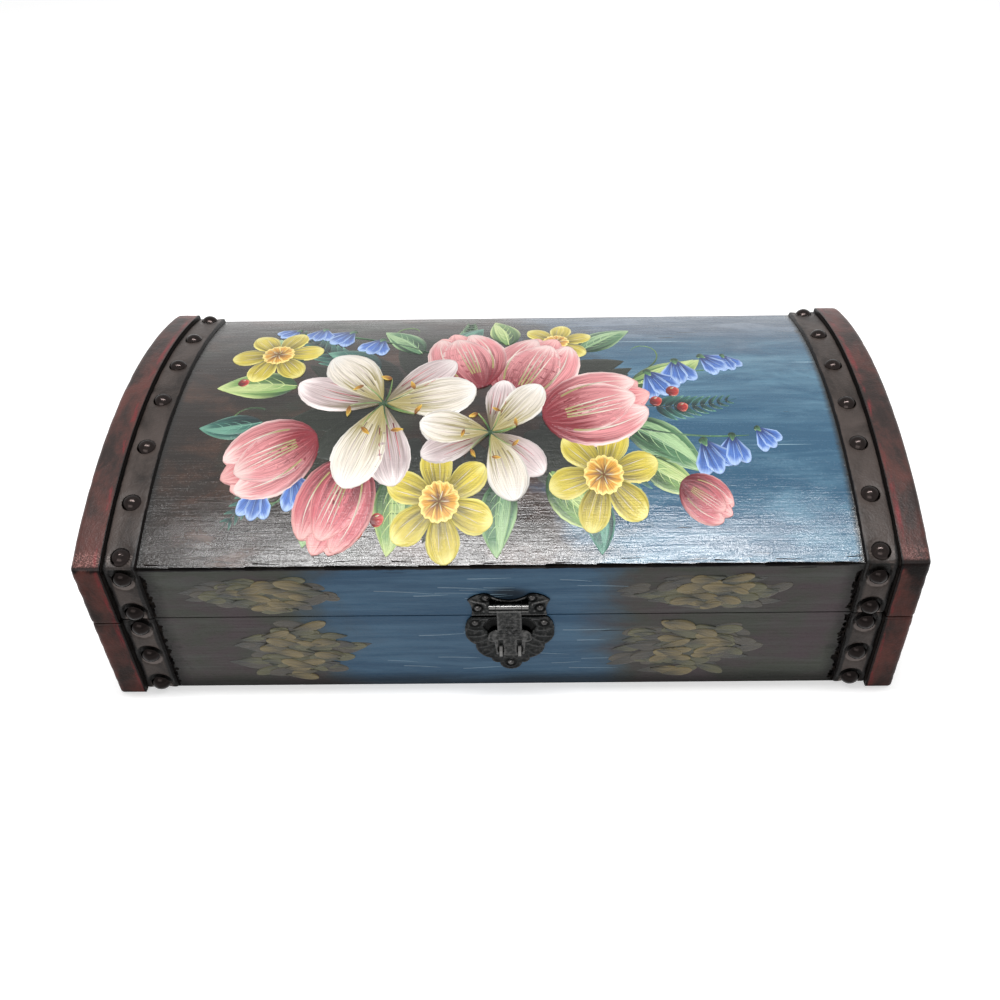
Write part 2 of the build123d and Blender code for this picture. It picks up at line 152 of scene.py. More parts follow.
def buildStudio():
    scene.world = bpy.data.worlds.new("whiteRoom")
    scene.world.use_nodes = True
    background = scene.world.node_tree.nodes["Background"]
    background.inputs["Color"].default_value = (1, 1, 1, 1)
    seenDirectly(scene.world.node_tree, background.inputs["Strength"], studio["ambient"], 1)

    bpy.ops.mesh.primitive_plane_add(size=studio["floorSize"], location=(0, 0, 0))
    floor = bpy.context.object
    floor.name = "floor"
    material = bpy.data.materials.new("pale paper")
    material.use_nodes = True
    shader = material.node_tree.nodes["Principled BSDF"]
    for key, value in studio["floor"].items():
        shader.inputs[key].default_value = value
    seenDirectly(material.node_tree, shader.inputs["Emission Strength"], 0, studio["floorGlow"])
    floor.data.materials.append(material)

    addLamp("softbox", studio["softbox"])
    addLamp("frontFill", studio["frontFill"])
    scene.view_settings.view_transform = "Standard"


placeCamera()
buildStudio()
print("camera and studio set")


# Small helpers for materials: each adds to the finish that was begun last
finishNow = {}


class Flow:
    # What comes out of a node, so that sums with it can be written as sums
    def __init__(self, socket):
        self.socket = socket

    def __add__(self, other):
        return maths("ADD", self, other)

    def __sub__(self, other):
        return maths("SUBTRACT", self, other)

    def __rsub__(self, other):
        return maths("SUBTRACT", other, self)

    def __mul__(self, other):
        return maths("MULTIPLY", self, other)

    def __truediv__(self, other):
        return maths("DIVIDE", self, other)

    def __abs__(self):
        return maths("ABSOLUTE", self)


def feed(target, value):
    if isinstance(value, Flow):
        finishNow["tree"].links.new(value.socket, target)
    else:
        target.default_value = value


def addNode(kind, inputs=None, take=0, **settings):
    made = finishNow["tree"].nodes.new("ShaderNode" + kind)
    for key, value in settings.items():
        setattr(made, key, value)
    for key, value in (inputs or {}).items():
        feed(made.inputs[key], value)
    return Flow(made.outputs[take])


def newFinish(name, **values):
    # A material with the constant values of its surface set on the shader itself
    material = bpy.data.materials.new(name)
    material.use_nodes = True
    finishNow["tree"] = material.node_tree
    shader = material.node_tree.nodes["Principled BSDF"]
    for key, value in values.items():
        shader.inputs[key.replace("_", " ")].default_value = value
    return material, shader


def giveSurface(shader, normal, *others):
    for name in ("Normal", *others):
        feed(shader.inputs[name], normal)


def objectPlace():
    return addNode("TexCoord", take="Object")


def parts(place):
    split = addNode("SeparateXYZ", {0: place})
    return [Flow(socket) for socket in split.socket.node.outputs]


def painted(name, take="Fac"):
    # What a layer of the mesh holds
    return addNode("Attribute", take=take, attribute_name=name)


def stretched(place, scale, detail=4.0, roughness=0.55, distortion=0.0, offset=(0, 0, 0)):
    # Noise with its own scale on each axis, in features per metre
    mapped = addNode("Mapping", {"Vector": place, "Scale": scale, "Location": offset})
    return addNode("TexNoise", {"Vector": mapped, "Scale": 1.0, "Detail": detail, "Roughness": roughness,
                                "Distortion": distortion}, take="Fac")


def between(value, low, high, toLow=0.0, toHigh=1.0):
    # Goes smoothly from one value to another while the first goes from low to high
    return addNode("MapRange", {"Value": value, "From Min": low, "From Max": high, "To Min": toLow,
                                "To Max": toHigh}, take="Result", interpolation_type="SMOOTHSTEP")


def maths(operation, a, b=0.0):
    return addNode("Math", {0: a, 1: b}, operation=operation)


def blended(factor, a, b, how="MIX"):
    a, b = ((*colour, 1) if isinstance(colour, tuple) else colour for colour in (a, b))
    return addNode("Mix", {0: factor, 6: a, 7: b}, 2, data_type="RGBA", blend_type=how, clamp_factor=True)


def bumped(height, distance, strength=1.0, onTopOf=None):
    inputs = {"Height": height, "Distance": distance, "Strength": strength}
    if onTopOf is not None:
        inputs["Normal"] = onTopOf
    return addNode("Bump", inputs, take="Normal")


# Painted wood
paint = {
    "umber": (0.010, 0.0058, 0.0038),
    "redBrown": (0.048, 0.022, 0.013),
    "moss": (0.014, 0.018, 0.011),
    "dust": (0.085, 0.068, 0.055),
    "slateBlue": (0.018, 0.076, 0.138),
    "paleBlue": (0.088, 0.192, 0.270),
    "cloud": (0.155, 0.190, 0.245),
    "cloudShade": (0.050, 0.078, 0.120),
    "stroke": (0.420, 0.600, 0.680),
    "black": (0.0035, 0.003, 0.0025),
    "frontOlive": (0.040, 0.044, 0.034),
    "frontPlum": (0.052, 0.037, 0.042),
    "frontGrey": (0.078, 0.084, 0.078),
    "frontBlue": (0.028, 0.070, 0.124),
    "frontPale": (0.056, 0.116, 0.182),
    "stain": ((0.016, 0.011, 0.008), (0.040, 0.027, 0.018)),
}
# where the painted shadow over the latch and the painted shade in the seam behind it lie
paintedLatchShadow = {
    "latch": 0.0028,
    "seam": 0.0403,
    "from": (-0.0028, 0, -0.0512),
    "squeeze": (1 / 0.0080, 0, 1 / 0.0036),
}


def domeGround(place):
    # Umber on the left, blue on the right, clouded towards the back
    x, y, _ = parts(place)
    wide = stretched(place, (22, 34, 34), 5)
    patch = stretched(place, (30, 46, 46), 6, 0.62, 0.3, (3, 1, 0))
    streak = stretched(place, (13, 190, 190), 6, 0.66, 0.5)
    soft = stretched(place, (16, 62, 62), 6, 0.68, 0.7, (6, 2, 1))
    brown = blended(between(patch, 0.46, 0.68), paint["umber"], paint["redBrown"])
    brown = blended(between(wide, 0.48, 0.66), brown, paint["moss"])
    brown = blended(between(streak, 0.50, 0.85, 0, 0.22), brown, paint["dust"])
    deepWater = between(abs(y + 0.030), 0.010, 0.028, 0.075, 0)
    lit = soft * 0.75 + streak * 0.25 - y * 0.5 - deepWater
    blue = blended(between(lit, 0.40, 0.66), paint["slateBlue"], paint["paleBlue"])
    dab = stretched(place, (26, 75, 75), 6, 0.6, 0.9, (1, 5, 0))
    sky = blended(between(dab, 0.46, 0.66), paint["cloudShade"], paint["cloud"])
    back = y + wide * 0.05
    blue = blended(between(back, 0.055, 0.085, 0, 0.85), blue, sky)
    border = x + y * 0.16 + patch * 0.09
    ground = blended(between(border, 0.055, 0.085), brown, blue)
    line = stretched(place, (11, 520, 520), 2, 0.5, 0.35, (0, 9, 0))
    line = between(line, 0.715, 0.76, 0, 0.6) * between(border, 0.075, 0.10)
    return blended(line, ground, paint["stroke"])


def frontGround(place):
    x, y, z = parts(place)
    patch = stretched(place, (24, 40, 40), 5, 0.6, 0.3, (7, 2, 0))
    streak = stretched(place, (14, 150, 150), 6, 0.66, 0.5)
    dark = blended(between(patch, 0.42, 0.66), paint["frontOlive"], paint["frontPlum"])
    dark = blended(between(streak, 0.46, 0.75, 0, 0.5), dark, paint["frontGrey"])
    blue = blended(between(streak, 0.38, 0.70), paint["frontBlue"], paint["frontPale"])
    middle = abs(x + 0.012) + patch * 0.06
    front = between(y, -0.070, -0.060, 1, 0)
    share = between(middle, 0.066, 0.094, 1, 0) * front
    ground = blended(share, dark, blue)
    # painted shade: the fronts darken to black towards the floor
    foot = z + patch * 0.008
    ground = blended(between(foot, 0.005, 0.013, 0.75, 0), ground, paint["black"])
    # painted shadow above the latch and painted shade in the seam behind it
    away = addNode("VectorMath", {0: place, 1: paintedLatchShadow["from"]}, operation="ADD")
    away = addNode("VectorMath", {0: away, 1: paintedLatchShadow["squeeze"]}, operation="MULTIPLY")
    away = addNode("VectorMath", {0: away}, take="Value", operation="LENGTH") + patch * 0.6
    ground = blended(between(away, 0.7, 1.7, 0.8, 0) * front, ground, paint["black"])
    # the rims at the seam are stained, not painted
    rim = between(abs(z - (seamLow + seamHigh) / 2), 0.0003, 0.0004, 1, 0)
    rim = rim * between(abs(y), -frontY - 1.0 * mm, -frontY - 0.2 * mm, 1, 0)
    stain = blended(between(streak, 0.4, 0.7), *paint["stain"])
    ground = blended(rim, ground, stain)
    front = front * between(y, frontY + 0.0002, frontY + 0.0006, 1, 0)
    behind = between(abs(x - paintedLatchShadow["latch"]), 0.0132, 0.0140, 1, 0)
    slit = between(abs(z - paintedLatchShadow["seam"]), 0.0008, 0.0012, 1, 0)
    return blended(behind * slit * front, ground, paint["black"])


def grimedAndShaded(place, colour, creep):
    # Black glue and paint that crept out beside the straps, a soft darkening towards them that is partly
    # painted shade, and the dark line where the dome ends
    x, y, z = parts(place)
    ragged = stretched(place, (420, 420, 420), 4, 0.7)
    smudge = stretched(place, (90, 110, 110), 6, 0.7, 0.0, (2, 8, 1))
    reach = abs(x) + ragged * creep + between(smudge, 0.5, 0.85) * (creep * 2.2)
    near = between(reach, strapInner - creep * 0.35, strapInner + 0.0005 - creep * 0.1)
    # a soft darkening towards the strap, partly antiquing and partly painted shade of the strap's step
    strapShadeAndGlaze = between(reach, strapInner - creep * 2.5, strapInner, 0, 0.75)
    colour = blended(strapShadeAndGlaze, colour, paint["black"])
    colour = blended(near, colour, paint["black"])
    out = abs(y) + ragged * 0.0016
    up = z + ragged * 0.0010
    streak = stretched(place, (70, 650, 650), 4, 0.6, 0.3, (1, 7, 2))
    chipped = between(streak, 0.55, 0.66, 0, 0.8) * between(out, panelEdge - 0.0045, panelEdge - 0.0008)
    lip = maths("MAXIMUM", between(out, panelEdge - 0.0002, panelEdge + 0.0006), chipped)
    top = between(up, edgeTop - 0.0012, edgeTop - 0.0006)
    return blended(lip * top, colour, paint["black"])


def woodSurface(place, shader, gloss):
    # Grain, brush ridges and cracks in the varnish, which is duller in its fine scratches
    grain = stretched(place, (34, 1350, 1350), 4, 0.65, 0.2)
    ridge = stretched(place, (26, 300, 300), 4, 0.6, 0.4, (4, 0, 2))
    pores = stretched(place, (1100, 1500, 1500), 3, 0.6)
    waves = stretched(place, (24, 40, 40), 2, 0.5, 0.0, (8, 8, 8))
    crack = stretched(place, (30, 430, 430), 3, 0.5, 0.6, (0, 3, 7))
    crack = between(crack, 0.725, 0.74)
    normal = bumped(waves, 0.0016, 0.5)
    normal = bumped(ridge, 0.00022, 0.5, normal)
    normal = bumped(grain, 0.0001, 0.8, normal)
    normal = bumped(pores, 0.00008, 0.8, normal)
    normal = bumped(1.0 - crack, 0.0003, 0.8, normal)
    giveSurface(shader, normal, "Coat Normal")
    dull = grain * 0.6 + pores * 0.4
    feed(shader.inputs["Roughness"], between(dull, 0.49, 0.60, gloss, gloss + 0.24))
    return crack


def paintedWood(name, groundOf, creep, gloss, **finish):
    material, shader = newFinish(name, **finish)
    place = objectPlace()
    crack = woodSurface(place, shader, gloss)
    colour = grimedAndShaded(place, groundOf(place), creep)
    colour = blended(crack * 0.85, colour, paint["black"])
    feed(shader.inputs["Base Color"], colour)
    return material


domePaint = paintedWood("varnished dome paint", domeGround, 0.0009, 0.13, Specular_IOR_Level=0.42,
                        Coat_Weight=0.22, Coat_Roughness=0.12)
panelPaint = paintedWood("varnished panel paint", frontGround, 0.0024, 0.36, Specular_IOR_Level=0.13,
                         Coat_Weight=0.04, Coat_Roughness=0.18)
cadNodes["lid_top_panel"].data.materials[0] = domePaint
cadNodes["lid_top_panel"].data.materials.append(panelPaint)
for face in cadNodes["lid_top_panel"].data.polygons:
    # the ply's long edges carry on the paint of the fronts
    if abs(face.normal.y) > 0.9:
        face.material_index = 1
for nodeName in ("lid_front_rail", "lid_back_rail", "base_front_panel", "base_back_panel"):
    cadNodes[nodeName].data.materials[0] = panelPaint
print("painted wood done")


# Small helpers for meshes
def pick(*pieces):
    bpy.ops.object.select_all(action="DESELECT")
    for piece in pieces:
        piece.select_set(True)
    bpy.context.view_layer.objects.active = pieces[0]
    return pieces[0]


def openMesh(piece, selected="SELECT"):
    pick(piece)
    bpy.ops.object.mode_set(mode="EDIT")
    bpy.ops.mesh.select_all(action=selected)


def closeMesh():
    bpy.ops.object.mode_set(mode="OBJECT")


def mergedCopy(nodeName, name):
    # A copy of a CAD piece with its loose triangles welded and its flats made whole
    source = cadNodes[nodeName]
    piece = source.copy()
    piece.data = source.data.copy()
    piece.name = name
    piece.data.name = name
    piece.parent = None
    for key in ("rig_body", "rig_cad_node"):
        del piece[key]
    scene.collection.objects.link(piece)
    pick(piece)
    bpy.ops.mesh.customdata_custom_splitnormals_clear()
    openMesh(piece)
    bpy.ops.mesh.remove_doubles(threshold=0.002 * mm)
    bpy.ops.mesh.dissolve_limited(angle_limit=math.radians(0.4))
    closeMesh()
    return piece


def dice(piece, node, step, axes=(0, 1, 2)):
    # Cuts a piece across the axes at even steps, so that it can be shaped
    low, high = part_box(node)
    openMesh(piece)
    for axis in axes:
        normal = [0, 0, 0]
        normal[axis] = 1
        count = int((high[axis] - low[axis]) / step)
        for k in range(1, count):
            place = [0, 0, 0]
            place[axis] = low[axis] + k * (high[axis] - low[axis]) / count
            bpy.ops.mesh.select_all(action="SELECT")
            bpy.ops.mesh.bisect(plane_co=place, plane_no=normal)
    closeMesh()


def shape(piece, move):
    # Moves every vertex to where the function puts it
    for vertex in piece.data.vertices:
        vertex.co = move(vertex.co, vertex.normal)
    piece.data.update()


def finishPiece(piece, material, body, slotName, *nodeNames, smooth=35):
    pick(piece)
    piece.data.materials.clear()
    piece.data.materials.append(material)
    bpy.ops.object.shade_smooth_by_angle(angle=math.radians(smooth))
    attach(piece, body)
    if nodeNames:
        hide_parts(*nodeNames)
    return piece


def dullFaces(piece, material):
    # Faces that stand upright take the matt finish of the same leather
    piece.data.materials.append(material)
    for face in piece.data.polygons:
        if face.normal.z < 0.5:
            face.material_index = 1


def crumple(place, size, seed=0.0):
    # Smooth noise from -1 to 1 with lumps of about that size
    return noise.noise((Vector(place) / size) + Vector((seed, seed * 0.7, -seed)))


# Painted spray: every stroke of the brush is a thin leaf of paint on the dome or on a front board
paintRelief = {
    "film": 0.03 * mm,
    "step": 0.006 * mm,
    "line": 0.003 * mm,
    "sunk": 0.03 * mm,
    "drawnOut": 1.25,
    "forward": -8 * mm,
    # how far the grid reaches past the stroke, lengthwise and sideways: that ring is turned down
    "skirt": (1.12, 1.22),
    "spineSteps": 60,
}
strokeKinds = {
    # swell is the width along the stroke; round and notch draw in an open far end at its sides and middle
    "petal": {"cells": (14, 8), "swell": (1.55, 0.55)},
    "cup": {"cells": (14, 8), "swell": (0.95, 0.60)},
    "leaf": {"cells": (14, 8), "swell": (0.80, 0.85)},
    "comma": {"cells": (10, 6), "swell": (0.55, 0.75)},
    "fan": {"cells": (12, 12), "open": 0.55, "round": 0.30},
    "heart": {"cells": (12, 12), "open": 0.60, "round": 0.34, "notch": 0.16},
    "line": {"cells": (18, 4), "swell": (0.30, 0.50)},
}


def mixed(inner, outer, rim):
    return {"inner": inner, "outer": outer, "rim": rim}


petalPink = mixed((0.18, 0.009, 0.018), (0.66, 0.26, 0.27), (0.82, 0.60, 0.57))
petalRose = mixed((0.12, 0.006, 0.014), (0.52, 0.13, 0.15), (0.80, 0.42, 0.40))
petalCream = mixed((0.30, 0.25, 0.09), (0.68, 0.62, 0.54), (0.80, 0.77, 0.72))
petalShade = mixed((0.16, 0.13, 0.07), (0.52, 0.42, 0.42), (0.80, 0.72, 0.70))
petalYellow = mixed((0.14, 0.11, 0.013), (0.56, 0.45, 0.05), (0.76, 0.68, 0.22))
petalBlue = mixed((0.014, 0.030, 0.12), (0.060, 0.150, 0.46), (0.36, 0.50, 0.78))
leafGreen = mixed((0.010, 0.035, 0.016), (0.075, 0.190, 0.085), (0.34, 0.50, 0.26))
leafLime = mixed((0.020, 0.060, 0.020), (0.170, 0.300, 0.090), (0.52, 0.62, 0.26))
leafTeal = mixed((0.006, 0.022, 0.024), (0.030, 0.110, 0.090), (0.14, 0.32, 0.24))
ochreDab = mixed((0.042, 0.036, 0.016), (0.150, 0.112, 0.040), (0.24, 0.19, 0.085))
paintHand = random.Random(12)
strokeBlanks = {}
wetStrokes = []
paintLevel = {"now": 0.0}


def onDome(x, s, lift):
    # x along the box and s round the dome from its crown, both in metres
    reach = panelRadius + lift
    angle = (s * paintRelief["drawnOut"] + paintRelief["forward"]) / panelRadius
    return x, reach * np.sin(angle), domeCentre + reach * np.cos(angle)


def onFront(x, z, lift):
    return x, frontY - lift, z


def strokeBlank(kind):
    # One flat grid for each kind of stroke, with the layers that the paint reads
    if kind not in strokeBlanks:
        along, across = strokeKinds[kind]["cells"]
        bpy.ops.mesh.primitive_grid_add(x_subdivisions=along, y_subdivisions=across, size=2)
        blank = bpy.context.object
        blank.data.uv_layers[0].name = "strokeMap"
        for name in ("innerColour", "outerColour", "rimColour"):
            blank.data.attributes.new(name, "FLOAT_COLOR", "POINT")
        for name in ("strokeShare", "strokePlace"):
            blank.data.attributes.new(name, "FLOAT_VECTOR", "POINT")
        places = np.array([v.co for v in blank.data.vertices])
        strokeBlanks[kind] = (blank, places)
    return strokeBlanks[kind]


def brush(kind, at, angle, length, width, paintPot, bend=0.0, swirl=0.0, lay=onDome, rim=1.0):
    # A stroke starts at a point in mm, runs at an angle in degrees, and turns by bend over its length
    blank, grid = strokeBlank(kind)
    form = strokeKinds[kind]
    pastEnd, pastSide = paintRelief["skirt"]
    t = np.clip((grid[:, 0] * pastEnd + 1) / 2, 0, 1)
    v = np.clip(grid[:, 1] * pastSide, -1, 1)
    skirt = (np.abs(grid[:, 0]) > 0.999) | (np.abs(grid[:, 1]) > 0.999)
    t = (1 - np.cos(np.pi * t)) / 2
    along = t * (1 - form.get("round", 0) * np.abs(v) ** 2.2 - form.get("notch", 0) * np.exp(-(v / 0.3) ** 2))
    if "open" in form:
        wide = t ** form["open"]
    else:
        power, blunt = form["swell"]
        wide = np.sin(np.pi * t ** power).clip(0) ** blunt
    heading = np.radians(angle) + np.radians(bend) * along + np.radians(swirl) * along ** 2
    # the spine is summed in small steps
    steps = np.linspace(0, 1, paintRelief["spineSteps"])
    turn = np.radians(angle) + np.radians(bend) * steps + np.radians(swirl) * steps ** 2
    spineX = np.concatenate([[0], np.cumsum(np.cos(turn[:-1]))]) / (len(steps) - 1)
    spineS = np.concatenate([[0], np.cumsum(np.sin(turn[:-1]))]) / (len(steps) - 1)
    half = width / 2 * wide * v
    x = at[0] + length * np.interp(along, steps, spineX) - np.sin(heading) * half
    s = at[1] + length * np.interp(along, steps, spineS) + np.cos(heading) * half
    top = paintLevel["now"] + (paintRelief["line"] if kind == "line" else 0)
    height = np.where(skirt, -paintRelief["sunk"], top)
    paintLevel["now"] += 0 if kind == "line" else paintRelief["step"]
    places = np.stack(lay(x * mm, s * mm, height), 1)

    piece = blank.copy()
    piece.data = blank.data.copy()
    scene.collection.objects.link(piece)
    mesh = piece.data
    mesh.vertices.foreach_set("co", places.astype(np.float32).ravel())
    count = len(grid)
    for name, key in (("innerColour", "inner"), ("outerColour", "outer"), ("rimColour", "rim")):
        tone = 1 + paintHand.uniform(-0.10, 0.10)
        colour = [min(1.0, c * tone) for c in paintPot[key]] + [rim]
        mesh.attributes[name].data.foreach_set("color", np.tile(colour, count).astype(np.float32))
    seed = paintHand.uniform(0, 50)
    share = np.stack([t, v, np.zeros(count)], 1)
    where = np.stack([along * length * mm, v * width / 2 * mm, np.full(count, seed)], 1)
    mesh.attributes["strokeShare"].data.foreach_set("vector", share.astype(np.float32).ravel())
    mesh.attributes["strokePlace"].data.foreach_set("vector", where.astype(np.float32).ravel())
    wetStrokes.append(piece)


def startLayer(level):
    # What is painted next lies this many steps above the bare ground
    paintLevel["now"] = paintRelief["film"] + level * paintRelief["step"]


def dryPaint(name, body, material=None):
    # Joins the strokes laid since the last call into one piece
    pick(*wetStrokes)
    bpy.ops.object.join()
    piece = bpy.context.object
    piece.name = name
    piece.data.name = name
    piece.data.materials.clear()
    piece.data.materials.append(material or strokePaint)
    openMesh(piece)
    bpy.ops.mesh.remove_doubles(threshold=0.0005 * mm)
    closeMesh()
    bpy.ops.object.shade_smooth()
    wetStrokes.clear()
    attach(piece, body)
    return piece


def makeStrokePaint():
    material, shader = newFinish("brushed flower paint", Roughness=0.30, Specular_IOR_Level=0.32,
                                 Coat_Weight=0.18, Coat_Roughness=0.12)
    inner, outer, light = (painted(layer, "Color") for layer in ("innerColour", "outerColour", "rimColour"))
    t, v, _ = parts(painted("strokeShare", "Vector"))
    where = painted("strokePlace", "Vector")
    hair = stretched(where, (60, 2600, 1), 4, 0.6)
    sweep = stretched(where, (45, 700, 1), 3, 0.55, 0.0, (0, 0, 9))
    blend = t + (sweep - 0.5) * 1.1 + (hair - 0.5) * 0.5
    colour = blended(between(blend, 0.08, 0.78), inner, outer)
    side = maths("MAXIMUM", abs(v), t) + (sweep - 0.5) * 0.35
    rim = between(side, 0.76, 0.98) * painted("rimColour", "Alpha") * between(t, 0.15, 0.6)
    colour = blended(rim, colour, light)
    dusk = between(hair, 0.30, 0.60, 0.62, 1.0)
    colour = blended(1.0, colour, addNode("CombineColor", {0: dusk, 1: dusk, 2: dusk}), "MULTIPLY")
    feed(shader.inputs["Base Color"], colour)
    place = objectPlace()
    grain = stretched(place, (34, 1350, 1350), 4, 0.65, 0.2)
    pores = stretched(place, (1100, 1500, 1500), 3, 0.6)
    normal = bumped(hair, 0.0001, 0.6)
    normal = bumped(grain, 0.0002, 0.8, normal)
    normal = bumped(pores, 0.00015, 0.8, normal)
    giveSurface(shader, normal, "Coat Normal")
    return material


def makeGlaze():
    # Matt black that was rubbed along the edges and has gone brown in places
    material, shader = newFinish("matt black glaze", Roughness=0.85, Specular_IOR_Level=0.04)
    place = objectPlace()
    patch = stretched(place, (260, 420, 420), 5, 0.7)
    colour = blended(between(patch, 0.45, 0.75), (0.0025, 0.002, 0.002), (0.012, 0.009, 0.007))
    feed(shader.inputs["Base Color"], colour)
    giveSurface(shader, bumped(patch, 0.0001, 0.5))
    return material


strokePaint = makeStrokePaint()
blackGlaze = makeGlaze()


def ray(at, angle, distance):
    turn = math.radians(angle)
    return at[0] + math.cos(turn) * distance, at[1] + math.sin(turn) * distance


def paintTulip(at, angle, size, pot, backPot):
    # A cup seen from the side: back petals, outer petals, front petal, then light streaks
    for turn, long in ((-16, 0.97), (15, 1.0), (0, 1.04)):
        brush("cup", at, angle + turn, size * long, size * 0.52, backPot, bend=-turn * 0.8)
    for sign in (-1, 1):
        brush("cup", ray(at, angle, size * 0.02), angle + sign * 33, size * 0.98, size * 0.50, pot,
              bend=-sign * 46)
    brush("cup", at, angle + 3, size * 0.90, size * 0.60, pot, bend=-6)
    for spread in (-13, -6, 2, 9):
        start = ray(at, angle + spread, size * 0.22)
        brush("line", start, angle + spread * 0.6, size * 0.55, size * 0.030, petalCream,
              bend=-spread * 0.5, rim=0)
    for sign in (-1, 1):
        start = ray(at, angle + sign * 40, size * 0.30)
        brush("line", start, angle + sign * 22, size * 0.62, size * 0.034, petalCream,
              bend=-sign * 40, rim=0)


def paintLily(at, size, turn):
    for ring, (pot, offset) in enumerate(((petalShade, 30), (petalCream, 0))):
        for k in range(3):
            angle = turn + offset + k * 120
            long = size * (1.0 if ring else 0.94) * paintHand.uniform(0.94, 1.05)
            wide = size * (0.56 if ring else 0.46)
            bend = paintHand.uniform(-22, 22)
            brush("petal", ray(at, angle, size * 0.03), angle - bend / 2, long, wide, pot, bend=bend)
            for spread in (-9, 0, 9):
                start = ray(at, angle + spread * 1.5, size * 0.28)
                brush("line", start, angle - bend / 3 + spread, size * 0.42, size * 0.022,
                      petalShade if ring else petalRose, bend=bend * 0.6 - spread, rim=0)
            if ring:
                for spread in (-22, 22):
                    start = ray(at, angle + spread * 0.9, size * 0.35)
                    heading = angle + spread * 0.7 - bend / 3
                    brush("line", start, heading, size * 0.5, size * 0.035, petalCream,
                          bend=bend - spread * 1.6, rim=0)
    for k in range(7):
        angle = turn + 20 + k * 51
        brush("line", at, angle - 12, size * 0.36, size * 0.026, leafLime, bend=24)
        brush("leaf", ray(at, angle, size * 0.36), angle + 80, size * 0.13, size * 0.055,
              mixed((0.20, 0.07, 0.01), (0.55, 0.30, 0.03), (0.8, 0.6, 0.15)))


def paintDaffodil(at, size, turn):
    for ring in (0, 1):
        for k in range(3):
            angle = turn + ring * 60 + k * 120
            brush("petal", ray(at, angle, size * 0.04), angle - 6, size, size * 0.62, petalYellow,
                  bend=12)
            for spread in (-10, 8):
                start = ray(at, angle + spread, size * 0.35)
                brush("line", start, angle + spread * 0.6, size * 0.48, size * 0.03, petalCream, rim=0)
    trumpet = mixed((0.14, 0.050, 0.008), (0.62, 0.30, 0.03), (0.95, 0.75, 0.25))
    for k in range(9):
        angle = turn + k * 40
        brush("heart", at, angle, size * 0.40, size * 0.34, trumpet)
    for k in range(5):
        brush("line", ray(at, k * 72, size * 0.03), k * 72, size * 0.16, size * 0.04, petalCream, rim=0)


def paintBell(at, angle, size):
    # A nodding bell with three flared lobes
    for turn in (-24, 24, 0):
        brush("fan", at, angle + turn * 0.7, size, size * 0.52, petalBlue, bend=turn * 0.9)
    for turn in (-18, 0, 18):
        brush("line", ray(at, angle + turn, size * 0.3), angle + turn * 0.7, size * 0.6, size * 0.04,
              mixed((0.10, 0.20, 0.45), (0.40, 0.55, 0.80), (1, 1, 1)),
              bend=turn * 0.9, rim=0)
    brush("comma", ray(at, angle + 180, size * 0.10), angle, size * 0.30, size * 0.26, leafGreen)


def paintStem(at, angle, length, bend, width, pot, swirl=0.0):
    brush("line", at, angle, length, width, pot, bend=bend, swirl=swirl, rim=0)


def paintLeaf(at, angle, length, width, pot, bend=0.0, veins=4):
    # A dark body, a lighter half laid over it, then the midrib and side veins
    pale = pot["rim"]
    veinPot = mixed(pale, pale, pale)
    brush("leaf", at, angle, length, width, pot, bend=bend)
    lighter = mixed(pot["outer"], pale, pale)
    half = ray(at, angle + 90, width * 0.06)
    brush("leaf", half, angle + 7, length * 0.93, width * 0.42, lighter, bend=bend - 13, rim=0.4)
    brush("line", at, angle, length * 0.96, max(0.35, width * 0.05), veinPot, bend=bend, rim=0)
    for k in range(veins):
        share = 0.16 + 0.6 * k / veins
        start = ray(at, angle + bend * share / 2, length * share)
        for sign in (-1, 1):
            heading = angle + bend * share + sign * 46
            brush("line", start, heading, width * 0.46, max(0.25, width * 0.035), veinPot, bend=-sign * 34,
                  rim=0)


def paintFern(at, angle, length, bend, pot, pairs=9, reach=0.26):
    paintStem(at, angle, length, bend, 0.7, pot)
    for k in range(pairs):
        share = 0.12 + 0.86 * k / pairs
        heading = angle + bend * share
        start = ray(at, angle + bend * share / 2, length * share * (1 - abs(bend) * share * share / 900))
        long = length * reach * (1 - share) ** 0.7 + 1.5
        for sign in (-1, 1):
            brush("comma", start, heading + sign * 52, long, long * 0.30, pot, bend=-sign * 30)


def paintBerry(at, size):
    pot = mixed((0.10, 0.006, 0.008), (0.42, 0.035, 0.030), (0.62, 0.20, 0.14))
    brush("cup", ray(at, 200, size / 2), 20, size, size, pot)
    brush("comma", ray(at, 120, size * 0.25), 20, size * 0.3, size * 0.16, petalCream, rim=0)


# The spray: shadows and leaves lie lowest, flowers over them, in mm on a plane drawn out over the dome
shadowPot = mixed((0.004, 0.006, 0.004), (0.009, 0.012, 0.007), (0.014, 0.020, 0.012))
shadowDabs = 26
for k in range(shadowDabs):
    # a dark mass under the bunch
    angle = 360 * k / shadowDabs + paintHand.uniform(-9, 9)
    startLayer(k % 4)
    start = (-14 + 34 * math.cos(math.radians(angle)), 2 + 16 * math.sin(math.radians(angle)))
    brush("leaf", start, angle, paintHand.uniform(26, 40), paintHand.uniform(13, 19), shadowPot,
          bend=paintHand.uniform(-22, 22))
ferns = [
    ((-60, 26), 150, 44, -30, leafTeal), ((26, -18), -30, 44, 34, leafTeal),
    ((-20, 38), 64, 26, 30, leafGreen), ((-72, -20), 208, 38, 28, leafTeal),
    ((-52, -30), 254, 24, -20, leafTeal), ((56, 2), -8, 36, 26, leafTeal),
]
